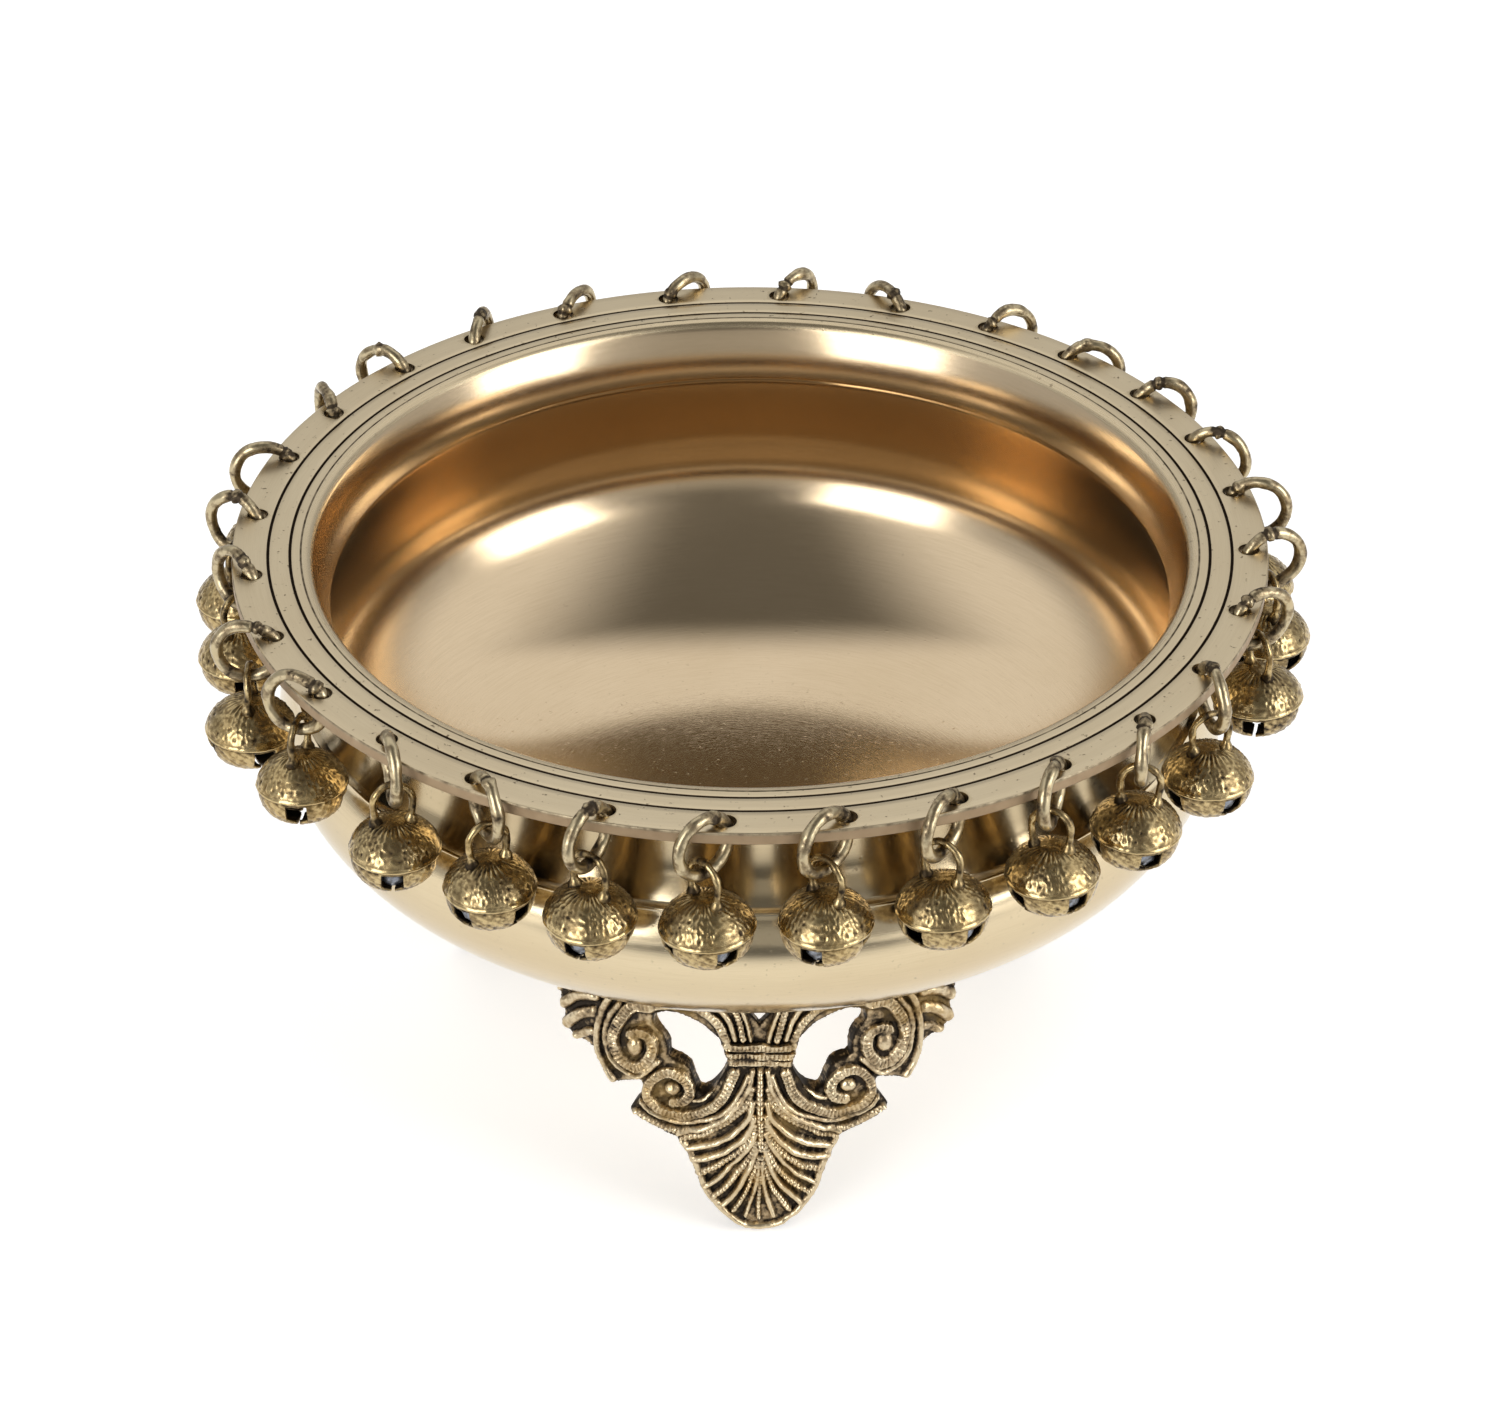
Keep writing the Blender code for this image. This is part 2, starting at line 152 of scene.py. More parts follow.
FLOOR_HALF_SIZE = 4.0
FLOOR_GLOW = 0.42
BACKDROP = (0.93, 0.93, 0.93, 1)
SOFTBOX_DISTANCE = 1.5
SOFTBOX_POWER = 10.0
SOFTBOXES = {  # azimuth from +X, elevation, width, height
    "softbox_right": (-31.0, 19.5, 0.76, 1.0),
    "softbox_left": (-128.0, 19.0, 0.8, 0.98),
}
CAMERA_AZIMUTH = -91.7
CAMERA_DISTANCE = 0.8645  # level distance from the bowl's axis
CAMERA_RISE = 0.5337  # above the flange
CAMERA_AIM_DEPTH = 0.03885  # below the flange, on the bowl's axis
CAMERA_LENS = 124.0  # mm, on a sensor 36 mm wide

# ---- numbers and meshes


def smoothstep(low, high, value):
    share = np.clip((value - low) / (high - low), 0.0, 1.0)
    return share * share * (3.0 - 2.0 * share)


def ripple(points, size, seed, waves=14):
    """Smooth noise of about +-1 at each point, whose bumps are about that size."""
    random = np.random.default_rng(seed)
    total = np.zeros(len(points))
    for _ in range(waves):
        direction = random.normal(size=3)
        direction *= 2 * math.pi / (size * random.uniform(0.7, 1.7) * np.linalg.norm(direction))
        total += np.sin(points @ direction + random.uniform(0, 2 * math.pi))
    return total / math.sqrt(waves / 2)


def store(mesh, name, column):
    """Named values at a mesh's vertices."""
    attribute = mesh.attributes.new(name, "FLOAT", "POINT")
    attribute.data.foreach_set("value", np.asarray(column, np.float32))


def build_mesh(name, vertices, faces, values=None):
    """A smooth-shaded mesh from millimetres, with named values at its vertices."""
    mesh = bpy.data.meshes.new(name)
    mesh.from_pydata((np.asarray(vertices) * MM).tolist(), [], faces)
    for key, column in (values or {}).items():
        store(mesh, key, column)
    mesh.shade_smooth()
    mesh.update()
    return mesh


def link(name, mesh, material, matrix=None):
    """A piece of the scene with that mesh, in one material."""
    mesh.materials.clear()
    mesh.materials.append(material)
    piece = bpy.data.objects.new(name, mesh)
    if matrix is not None:
        piece.matrix_world = matrix
    bpy.context.scene.collection.objects.link(piece)
    return piece


def bridge(first, second):
    """Faces between two closed rows of vertex numbers."""
    count = len(first)
    return [(first[i], first[(i + 1) % count], second[(i + 1) % count], second[i])
            for i in range(count)]


def stack_faces(rows, sides, first=0, flip=False):
    """Faces of a stack of closed rows of vertices, with a cap at each end."""
    numbers = [list(range(first + k * sides, first + (k + 1) * sides)) for k in range(rows)]
    faces = [tuple(numbers[0][::-1]), tuple(numbers[-1])]
    for low, high in zip(numbers, numbers[1:]):
        faces += bridge(low, high)
    return [face[::-1] for face in faces] if flip else faces


def circle(steps):
    """Evenly spaced angles once round."""
    return np.arange(steps) * 2 * math.pi / steps


def profile_lengths(points):
    """How far along a line of points each one is."""
    return np.concatenate([[0], np.cumsum(np.linalg.norm(np.diff(points, axis=0), axis=1))])


# ---- node materials


def add(tree, kind, inputs=None, **settings):
    """A shader node. An input is a value, or another node's socket to link from."""
    node = tree.nodes.new("ShaderNode" + kind)
    for key, value in settings.items():
        setattr(node, key, value)
    for key, value in (inputs or {}).items():
        if isinstance(value, bpy.types.NodeSocket):
            tree.links.new(value, node.inputs[key])
        else:
            node.inputs[key].default_value = value
    return node


def new_material(name):
    material = bpy.data.materials.new(name)
    material.use_nodes = True
    return material, material.node_tree, material.node_tree.nodes["Principled BSDF"]


def named_value(tree, name):
    return add(tree, "Attribute", attribute_name=name).outputs["Fac"]


def blend(tree, share, first, second):
    """A colour between two, each a colour or a socket."""
    node = add(tree, "Mix", {0: share, 6: first, 7: second}, data_type="RGBA")
    return node.outputs[2]


def between(tree, share, first, second):
    """A number between two, each a number or a socket."""
    node = add(tree, "Mix", {0: share, 2: first, 3: second}, data_type="FLOAT")
    return node.outputs[0]


def remap(tree, value, low, high, to_low=0.0, to_high=1.0):
    """A number eased from one value to another while a socket goes from low to high."""
    node = add(tree, "MapRange", {"Value": value, "From Min": low, "From Max": high,
                                            "To Min": to_low, "To Max": to_high},
               interpolation_type="SMOOTHSTEP")
    return node.outputs["Result"]


def compute(tree, operation, *values):
    """A sum of one or two numbers or sockets."""
    return add(tree, "Math", dict(enumerate(values)), operation=operation).outputs[0]


def speckle(tree, vector, scale, detail=3.0, roughness=0.6):
    """Noise from 0 to 1, with that many bumps to a metre."""
    return add(tree, "TexNoise", {"Vector": vector, "Scale": scale, "Detail": detail,
                                            "Roughness": roughness}).outputs["Fac"]


def object_space(tree):
    return add(tree, "TexCoord").outputs["Object"]


def vectors(tree, operation, *values):
    """A sum of one or two vectors or sockets. LENGTH gives a number."""
    outputs = add(tree, "VectorMath", dict(enumerate(values)), operation=operation).outputs
    return outputs["Value" if operation == "LENGTH" else "Vector"]


def turning_space(tree, across, around):
    """Coordinates that run fast across the marks of a lathe and slowly along them."""
    flat = vectors(tree, "MULTIPLY", object_space(tree), (1, 1, 0))
    slow = vectors(tree, "MULTIPLY", vectors(tree, "NORMALIZE", flat), (around,) * 3)
    fast = compute(tree, "MULTIPLY", named_value(tree, "along"), across)
    return vectors(tree, "ADD", slow, add(tree, "CombineXYZ", {"Z": fast}).outputs[0])


def bump(tree, height, strength, distance, **normal):
    inputs = {"Height": height, "Strength": strength, "Distance": distance, **normal}
    return add(tree, "Bump", inputs).outputs["Normal"]


def connect_metal(tree, shader, colour, rough, normal):
    for name, socket in {"Base Color": colour, "Roughness": rough, "Normal": normal}.items():
        tree.links.new(socket, shader.inputs[name])
    shader.inputs["Metallic"].default_value = 1.0


def level(depth):
    """Height above the floor, in metres, of a depth below the flange's top in mm."""
    return (RIM_HEIGHT - depth) * MM


def bowl_material():
    """Turned brass: satin outside, brighter inside, duller on the rim, with grime round the holes,
    painted shade on the neck, in the holes, in the grooves and under the flange, and darker on the
    flange's outer edge.
    """
    material, tree, shader = new_material("turned_brass")
    place = object_space(tree)
    inside = named_value(tree, "inside")
    rim = named_value(tree, "rim")
    height = add(tree, "SeparateXYZ", {0: place}).outputs["Z"]
    radius = vectors(tree, "LENGTH", vectors(tree, "MULTIPLY", place, (1, 1, 0)))
    cloud = speckle(tree, place, 26.0, 4.0)
    lines = speckle(tree, turning_space(tree, 5200.0, 9.0), 1.0, 3.0, 0.7)
    fine = speckle(tree, turning_space(tree, 16000.0, 30.0), 1.0, 2.0, 0.6)
    # The neck under the flange is painted darker, as painted shade.
    neck = remap(tree, height, level(25.0), level(23.0), 0.0, 0.7)
    edge = compute(tree, "MULTIPLY", remap(tree, radius, 99.5 * MM, 100.8 * MM),
                   remap(tree, height, level(0.2), level(0.8)))
    most = between(tree, inside, between(tree, rim, 0.25, 0.85), 0.08)
    dots = remap(tree, speckle(tree, place, 900.0, 2.0), 0.66, 0.76)
    specks = compute(tree, "MULTIPLY", dots, most)
    uneven = compute(tree, "MULTIPLY", speckle(tree, place, 420.0), 0.55)
    # Grime round the holes, and painted shade in the holes, grooves and the crease under the flange.
    grime_and_shade = remap(tree, compute(tree, "ADD", named_value(tree, "grime_and_shade"), uneven), 0.75, 1.25)
    colour = SATIN_BRASS
    for share, tint in [(neck, NECK_PAINTED_SHADE), (inside, INNER_BRASS), (rim, RIM_BRASS),
                        (remap(tree, cloud, 0.35, 0.75, 0.0, 0.22), CLOUD_TINT),
                        (remap(tree, lines, 0.35, 0.8, 0.0, 0.2), LATHE_TINT),
                        (specks, SPECK_TINT), (grime_and_shade, GRIME_AND_SHADE_TINT), (edge, EDGE_BRASS)]:
        colour = blend(tree, share, colour, tint)
    # Inside, the bottom is polished and the walls are duller.
    rough = between(tree, inside, 0.15, remap(tree, height, level(65.5), level(47.5), 0.055, 0.17))
    rough = between(tree, rim, rough, 0.3)
    rough = compute(tree, "ADD", rough, remap(tree, fine, 0.3, 0.7, -0.015, 0.035))
    rough = between(tree, grime_and_shade, rough, 0.65)
    normal = bump(tree, lines, between(tree, inside, 0.1, 0.05), 0.00006)
    normal = bump(tree, fine, between(tree, inside, 0.12, 0.04), 0.00003, Normal=normal)
    normal = bump(tree, specks, 0.35, -0.00015, Normal=normal)
    connect_metal(tree, shader, colour, rough, normal)
    shader.inputs["Anisotropic"].default_value = 0.4
    tangent = add(tree, "Tangent", direction_type="RADIAL", axis="Z")
    tree.links.new(tangent.outputs[0], shader.inputs["Tangent"])
    return material


def patina_material(name):
    """Aged brass, pale where it is rubbed and dark in its recesses; also dark on the legs' side walls, a
    painted shade.
    """
    pale, deep, dark, gilt, rough, grain, grain_depth = PATINAS[name]
    material, tree, shader = new_material(name)
    place = object_space(tree)
    fine = speckle(tree, place, grain, 4.0, 0.65)
    rubbed = named_value(tree, "patina_and_shade")
    for noise, reach in ((speckle(tree, place, 160.0, 4.0), 0.13), (fine, 0.16)):
        rubbed = compute(tree, "ADD", rubbed, remap(tree, noise, 0.3, 0.7, -reach, reach))
    colour = blend(tree, remap(tree, rubbed, 0.22, 0.5), dark, deep)
    colour = blend(tree, remap(tree, rubbed, 0.45, 0.8), colour, pale)
    gold = remap(tree, speckle(tree, place, 70.0), 0.5, 0.66, 0.0, gilt)
    connect_metal(tree, shader, blend(tree, gold, colour, GILT_TINT),
                  remap(tree, rubbed, 0.2, 0.75, rough + 0.28, rough),
                  bump(tree, fine, 0.5, grain_depth))
    return material


def iron_material():
    material, tree, shader = new_material("pellet_iron")
    fine = speckle(tree, object_space(tree), 900.0, 4.0)
    connect_metal(tree, shader, blend(tree, remap(tree, fine, 0.35, 0.7), IRON, RUSTY_IRON),
                  remap(tree, fine, 0.3, 0.7, 0.35, 0.6), bump(tree, fine, 0.4, 0.0001))
    return material


# ---- bowl


def belly_curve(radius, drop, start_radius, end_depth, points):
    """(radius, depth) along the flattened belly, from near its bottom up to a depth."""
    start = -math.acos(start_radius / radius)
    end = math.asin((BELLY_CENTRE_DEPTH - end_depth) / drop)
    angles = np.linspace(start, end, points)
    return np.stack([radius * np.cos(angles), BELLY_CENTRE_DEPTH - drop * np.sin(angles)], 1)


def through(points, count):
    """A parabola's points through three (radius, depth) corners, by depth."""
    (r0, d0), (r1, d1), (r2, d2) = points
    depth = np.linspace(d0, d2, count)
    fit = np.polyfit([d0, d1, d2], [r0, r1, r2], 2)
    return np.stack([np.polyval(fit, depth), depth], 1)


def rounded(corner, before, after, radius, points=5):
    """A small round at a corner between two neighbours of the profile."""
    corner, before, after = (np.array(p, float) for p in (corner, before, after))
    a = corner + (before - corner) / np.linalg.norm(before - corner) * radius
    b = corner + (after - corner) / np.linalg.norm(after - corner) * radius
    t = np.linspace(0, 1, points)[:, None]
    return (1 - t) ** 2 * a + 2 * t * (1 - t) * corner + t ** 2 * b


def groove(radius):
    """A turned V groove with eased edges in the flange's top, from outside in."""
    w, d = GROOVES[radius]
    return [(radius + w * 1.5, 0.0), (radius + w, 0.05), (radius + w * 0.35, d), (radius, d * 1.1),
            (radius - w * 0.35, d), (radius - w, 0.05), (radius - w * 1.5, 0.0)]


def inner_belly():
    """(radius, depth) inside the belly, a little less steep near the top than outside."""
    lower = belly_curve(BELLY_RADIUS - BOWL_WALL, BELLY_DROP - BOWL_WALL, 1.0, BELLY_CENTRE_DEPTH,
                        400)
    radius = INNER_TOP_RADIUS * np.sin(np.linspace(0.012, math.pi / 2, 110))
    upper = INNER_TOP_CENTRE + INNER_TOP_DROP * np.sqrt(1 - (radius / INNER_TOP_RADIUS) ** 2)
    share = smoothstep(40.0, 85.0, radius)
    depth = (1 - share) * np.interp(radius, lower[:, 0], lower[:, 1]) + share * upper
    return np.stack([radius, depth], 1)


def bowl_profile():
    """The section as rows of radius, depth, inside and rim, up the outside and down inside."""
    thick = FLANGE_THICKNESS
    outside = belly_curve(BELLY_RADIUS, BELLY_DROP, 1.2, SHOULDER[1] + 0.25, 90)
    lip = rounded((SHOULDER[0] + 0.1, SHOULDER[1] - 0.25), outside[-1],
                  (SHOULDER[0] - 1.2, SHOULDER[1] - 0.9), 0.35)
    neck = through([(NECK_TOP_RADIUS - 0.2, thick + 0.5), NECK_WAIST,
                    (SHOULDER[0] - 1.1, SHOULDER[1] - 0.9)], 60)[::-1]
    flare = np.clip((neck[:, 0] - NECK_WAIST[0]) / (NECK_TOP_RADIUS - NECK_WAIST[0]), 0, 1)
    neck[:, 0] -= NECK_FLATTEN * flare * (1 - flare)
    under = [(radius, thick) for radius in (NECK_TOP_RADIUS + 0.5, 92.0, 95.0, 98.5)]
    edge = np.concatenate([
        rounded((FLANGE_RADIUS, thick), (95, thick), (FLANGE_RADIUS, 0), 0.4),
        [(FLANGE_RADIUS, 1.7), (FLANGE_RADIUS, 0.9)],
        rounded((FLANGE_RADIUS, 0), (FLANGE_RADIUS, 2), (95, 0), 0.45)])
    top = [(99.5, 0.0), (97.8, 0.0), (96.0, 0.0)] + groove(94.5) + [(93.2, 0.0), (91.5, 0.0)]
    top += groove(90.2) + [(89.3, 0.0)] + groove(88.1)
    lip_in = rounded((FLANGE_INNER, 0.05), (89, 0), (THROAT[0] + 1.8, 3.6), 1.0, 7)
    throat = through([(FLANGE_INNER - 0.7, 1.3), (THROAT[0] + 1.2, 5.6), THROAT], 26)
    start = inner_belly()
    under_lip = curve_between(np.array(THROAT) + (0.25, 0.9), (0.5, 1.0),
                              start[-1], start[-2] - start[-1], 22)
    shape = [(outside, 0, 0), (lip, 0, 0), (neck, 0, 0), (under, 0, 0.6), (edge, 0, 1), (top, 0, 1),
             (lip_in, 0.3, 0.7), (throat, 1, 0), (under_lip, 1, 0), (start[::-1], 1, 0)]
    return np.concatenate([np.column_stack([part, np.full(len(part), inside),
                                            np.full(len(part), rim)])
                           for part, inside, rim in shape])


def curve_between(start, start_way, end, end_way, points):
    """A smooth curve that leaves one point and arrives at another in given directions."""
    start, end = np.asarray(start, float), np.asarray(end, float)
    reach = np.linalg.norm(end - start)
    a = np.asarray(start_way, float) / np.linalg.norm(start_way) * reach
    b = np.asarray(end_way, float) / np.linalg.norm(end_way) * reach
    t = np.linspace(0, 1, points)[:, None]
    return ((2 * t ** 3 - 3 * t ** 2 + 1) * start + (t ** 3 - 2 * t ** 2 + t) * a
            + (3 * t ** 2 - 2 * t ** 3) * end + (t ** 3 - t ** 2) * b)


def hole_centres():
    return np.array([JOINTS[name]["pos_m"] for name in JOINTS if name.endswith("swivel")]) / MM


def hole_cutter():
    """Flared drill bits for every hole in the rim, as one object."""
    sides = 28
    levels = [(HOLE_RADIUS + 1.2, 0.8), (HOLE_RADIUS + HOLE_FLARE, 0.02), (HOLE_RADIUS, -0.4),
              (HOLE_RADIUS, -FLANGE_THICKNESS + 0.3), (HOLE_RADIUS + 0.3, -FLANGE_THICKNESS - 0.02),
              (HOLE_RADIUS + 1.0, -FLANGE_THICKNESS - 0.7)]
    angles = circle(sides)
    vertices, faces = [], []
    for centre in hole_centres():
        faces += stack_faces(len(levels), sides, len(vertices), flip=True)
        for radius, lift in levels:
            ring = np.stack([np.cos(angles) * radius, np.sin(angles) * radius,
                             np.full(sides, lift)], 1)
            vertices += (centre + ring).tolist()
    mesh = build_mesh("hole_cutter", vertices, faces)
    cutter = bpy.data.objects.new("hole_cutter", mesh)
    bpy.context.scene.collection.objects.link(cutter)
    return cutter


def make_bowl(material):
    """The turned profile, drilled through its rim."""
    profile = bowl_profile()
    count = len(profile)
    angles = circle(BOWL_SEGMENTS)
    radius, height = profile[:, 0], RIM_HEIGHT - profile[:, 1]
    vertices = np.stack([np.outer(np.cos(angles), radius), np.outer(np.sin(angles), radius),
                         np.tile(height, (BOWL_SEGMENTS, 1))], 2).reshape(-1, 3)
    along = profile_lengths(profile[:, :2])
    faces = []
    for segment in range(BOWL_SEGMENTS):
        a, b = segment * count, (segment + 1) % BOWL_SEGMENTS * count
        faces += [(a + i, b + i, b + i + 1, a + i + 1) for i in range(count - 1)]
    faces.append(tuple(segment * count for segment in range(BOWL_SEGMENTS))[::-1])
    faces.append(tuple((segment + 1) * count - 1 for segment in range(BOWL_SEGMENTS)))
    values = {"inside": np.tile(profile[:, 2], BOWL_SEGMENTS),
              "rim": np.tile(profile[:, 3], BOWL_SEGMENTS),
              "along": np.tile(along * MM, BOWL_SEGMENTS)}
    bowl = link("bowl_body", build_mesh("bowl_body", vertices, faces, values), material)
    cutter = hole_cutter()
    drill = bowl.modifiers.new("holes", "BOOLEAN")
    drill.operation, drill.solver, drill.object = "DIFFERENCE", "EXACT", cutter
    bpy.context.view_layer.update()
    solid = bpy.data.meshes.new_from_object(bowl.evaluated_get(
        bpy.context.evaluated_depsgraph_get()))
    bowl.modifiers.clear()
    bowl.data = solid
    bpy.data.objects.remove(cutter)
    add_grime_and_shade(solid)
    solid.shade_smooth()
    solid.set_sharp_from_angle(angle=math.radians(32))
    return bowl


def add_grime_and_shade(mesh):
    """How dark each vertex of the bowl is painted: grime round the holes, painted shade in the holes,
    the grooves and the crease under the flange, and a darker outer edge of the flange.
    """
    place = np.zeros(len(mesh.vertices) * 3)
    mesh.vertices.foreach_get("co", place)
    place = place.reshape(-1, 3) / MM
    radius = np.hypot(place[:, 0], place[:, 1])
    depth = RIM_HEIGHT - place[:, 2]
    near = np.full(len(place), 99.0)
    for centre in hole_centres():
        near = np.minimum(near, np.hypot(place[:, 0] - centre[0], place[:, 1] - centre[1]))
    on_flange = (depth < FLANGE_THICKNESS + 0.8) & (radius > NECK_TOP_RADIUS)
    # A halo of grime round each hole; the hole's own wall is painted dark, as painted shade.
    halo = 0.62 * (1.0 - smoothstep(HOLE_RADIUS + 0.1, HOLE_RADIUS + 1.3, near))
    grime_and_shade = np.where(on_flange, np.where(near < HOLE_RADIUS + 0.05, 0.75, halo), 0.0)
    # The grooves are painted dark, as painted shade.
    for line, (half_width, deep) in GROOVES.items():
        cut = (np.abs(radius - line) < half_width * 1.1) & (depth > 0.03) & (depth < 0.9)
        grime_and_shade = np.where(cut, 0.65 + 1.5 * deep, grime_and_shade)
    # The crease under the flange is painted dark, as painted shade.
    crease = np.hypot(radius - NECK_TOP_RADIUS, depth - FLANGE_THICKNESS - 0.4)
    grime_and_shade = np.maximum(grime_and_shade, 0.75 * (1 - smoothstep(0.3, 1.6, crease)))
    # The flange's outer edge is painted darker.
    rim_edge = (radius > FLANGE_RADIUS - 0.3) & (depth > 0.1) & (depth < FLANGE_THICKNESS + 0.1)
    grime_and_shade = np.maximum(grime_and_shade, np.where(rim_edge, 0.74, 0.0))
    store(mesh, "grime_and_shade", grime_and_shade)


# ---- rings and bells


def hanging_matrix(number, joint):
    """Frame at a joint of a ring or its bell, with +X along the ring's direction and +Z up."""
    direction = Vector(JOINTS[f"bell_{number:02d}_swing"]["axis"]).normalized()
    up = Vector((0, 0, 1))
    turn = Matrix((direction, up.cross(direction), up)).transposed().to_4x4()
    return Matrix.Translation(JOINTS[joint]["pos_m"]) @ turn


def make_ring(number, material):
    """One hand-bent ring with a brazed joint."""
    steps, sides, seed = 84, 20, 40 + number
    around, across = np.repeat(circle(steps), sides), np.tile(circle(sides), steps)
    spine = np.stack([np.cos(around), 0 * around, np.sin(around)], 1)
    reach = RING_RADIUS * (1 + 0.0242 * ripple(spine * 3.0, 5.0, seed))
    tube = RING_WIRE * (1 + 0.055 * ripple(spine * 3.0, 2.2, seed + 1))
    vertices = spine * (reach + np.cos(across) * tube)[:, None]
    vertices[:, 1] = np.sin(across) * tube + 0.088 * RING_WIRE * ripple(spine * 3.0, 4.0, seed + 2)
    joint = np.random.default_rng(number).uniform(1.2, 2.6)
    away = np.abs((around - joint + math.pi) % (2 * math.pi) - math.pi) * RING_RADIUS
    lump = 0.24 * np.exp(-(away / 0.8) ** 2) * (1 + 0.6 * ripple(vertices, 1.4, number))
    cut = -0.3 * np.exp(-((away - 0.9) / 0.16) ** 2)
    rough = 0.018 * ripple(vertices, 0.9, number + 5)
    spoke = vertices - spine * RING_RADIUS
    spoke /= np.linalg.norm(spoke, axis=1)[:, None]
    vertices += spoke * (lump + cut + rough)[:, None]
    patina_and_shade = 0.62 + 0.13 * ripple(vertices, 3.0, number + 9) + 4 * rough
    patina_and_shade += np.where(cut < -0.1, -0.45, 0.0) - 0.18 * np.exp(-(away / 1.5) ** 2)
    vertices += (RING_OFFSET, 0, -RING_DEPTH)
    faces = []
    for step in range(steps):
        low, high = step * sides, (step + 1) % steps * sides
        faces += bridge(list(range(high, high + sides)), list(range(low, low + sides)))
    name = f"wire_ring_{number:02d}"
    mesh = build_mesh(name, vertices, faces, {"patina_and_shade": patina_and_shade})
    place = hanging_matrix(number, f"ring_{number:02d}_swivel")
    return link(name, mesh, material, place)


# The bell's outer skin as (radius, drop) from its cap to its mouth.
DOME = [(radius, CAP_DROP + drop) for radius, drop in (
    (0.0, 0.3), (1.6, 0.38), (2.9, 0.66), (4.2, 1.22), (5.6, 2.08), (6.95, 3.22), (7.95, 4.5),
    (8.5, 5.6), (8.64, 6.18))]
SEAM = [(radius, SEAM_DROP + drop) for radius, drop in (
    (8.78, -0.3), (BELL_RADIUS, -0.08), (BELL_RADIUS, 0.12), (8.72, 0.28), (8.46, 0.36))]
LOWER = [(radius, SEAM_DROP + drop) for radius, drop in (
    (8.44, 0.45), (8.45, 1.4), (8.2, 2.8), (7.6, 4.2), (6.5, 5.5), (5.0, 6.4), (3.0, 6.9),
    (0.95, 7.0))]


def resample(points, count):
    """Evenly spaced points on a smooth curve through the given ones."""
    points = np.asarray(points, float)
    padded = np.concatenate([[2 * points[0] - points[1]], points, [2 * points[-1] - points[-2]]])
    dense = []
    for index in range(1, len(padded) - 2):
        p0, p1, p2, p3 = padded[index - 1:index + 3]
        for t in np.linspace(0, 1, 16, endpoint=False):
            dense.append(0.5 * (2 * p1 + (p2 - p0) * t + (2 * p0 - 5 * p1 + 4 * p2 - p3) * t ** 2
                                + (3 * p1 - p0 - 3 * p2 + p3) * t ** 3))
    dense.append(padded[-2])
    dense = np.array(dense)
    length = profile_lengths(dense)
    wanted = np.linspace(0, length[-1], count)
    return np.stack([np.interp(wanted, length, dense[:, k]) for k in range(points.shape[1])], 1)


def bell_relief(angle, radius, drop, seed):
    """How far the stamped pattern stands out of the bell's skin, in mm."""
    place = np.stack([np.cos(angle) * radius, np.sin(angle) * radius, -drop], 1)
    relief = 0.018 * ripple(place, 1.5, seed) + 0.018 * ripple(place, 0.8, seed + 3)
    on_dome = drop < SEAM_DROP - 0.45
    flute = smoothstep(2.1, 2.9, radius) * (1 - smoothstep(4.1, 5.4, radius))
    waver = 0.1 * ripple(place, 3.5, seed + 1)
    relief += np.where(on_dome, flute * 0.1 * np.cos(27 * (angle + 0.15 * waver)), 0.0)
    for row, (row_radius, number) in enumerate([(5.75, 17), (6.95, 21), (8.05, 25)]):
        step = 2 * math.pi / number
        nearest = np.round((angle / step) - row * 0.5) + row * 0.5
        sideways = (angle - nearest * step) * radius
        outward = (radius - row_radius) * 1.25
        away = np.hypot(sideways, outward)
        petals = 0.55 + 0.45 * np.cos(5 * np.arctan2(outward, sideways) + 2 * number * nearest)
        stamp = 0.12 * petals * np.exp(-((away - 0.6) / 0.24) ** 2)
        stamp -= 0.11 * np.exp(-(away / 0.3) ** 2)
        relief += np.where(on_dome, stamp, 0.0)
    below = drop > SEAM_DROP + 0.5
    weave = (np.sin(angle * 30 + 1.6 * np.sin(drop * 3.1)) * np.sin(drop * 4.6)
             + 0.7 * np.sin(angle * 19 - drop * 3.7))
    relief += np.where(below, 0.055 * weave * smoothstep(1.5, 4.0, radius), 0.0)
    return relief


def make_loop(seed):
    """The arch of wire brazed to the dome: vertices, faces and how near the braze each is."""
    sides, leg_steps = 14, 14
    bend = np.linspace(math.pi, 0, 40)
    legs = np.linspace(LOOP_CENTRE - LOOP_LEG, LOOP_CENTRE, leg_steps, endpoint=False)
    arch = np.stack([LOOP_RADIUS * np.cos(bend), LOOP_CENTRE + LOOP_RADIUS * np.sin(bend)], 1)
    left = np.stack([np.full(leg_steps, -LOOP_RADIUS), legs], 1)
    path = np.concatenate([left, arch, (left * (-1, 1))[::-1]])
    sunk = smoothstep(LOOP_CENTRE, LOOP_CENTRE - LOOP_LEG, path[:, 1])
    path[:, 0] *= 1 - 0.13 * sunk
    spine = np.column_stack([0 * path[:, 0], path])
    way = np.gradient(path, axis=0)
    way /= np.linalg.norm(way, axis=1)[:, None]
    flat = np.column_stack([0 * way[:, 0], way[:, 1], -way[:, 0]])
    spine += 0.1 * ripple(spine, 6.0, seed)[:, None] * (1, 0, 0)
    blob = smoothstep(0.62, 1.0, sunk)
    thick = LOOP_WIRE * (1 + 0.06 * ripple(spine, 2.2, seed + 1) + 0.9 * blob)
    across = circle(sides)
    ring = (np.cos(across)[None, :, None] * flat[:, None, :]
            + np.sin(across)[None, :, None] * np.array([1.0, 0, 0]))
    wire = (spine[:, None, :] + thick[:, None, None] * ring).reshape(-1, 3)
    return wire, stack_faces(len(path), sides), np.repeat(blob, sides)


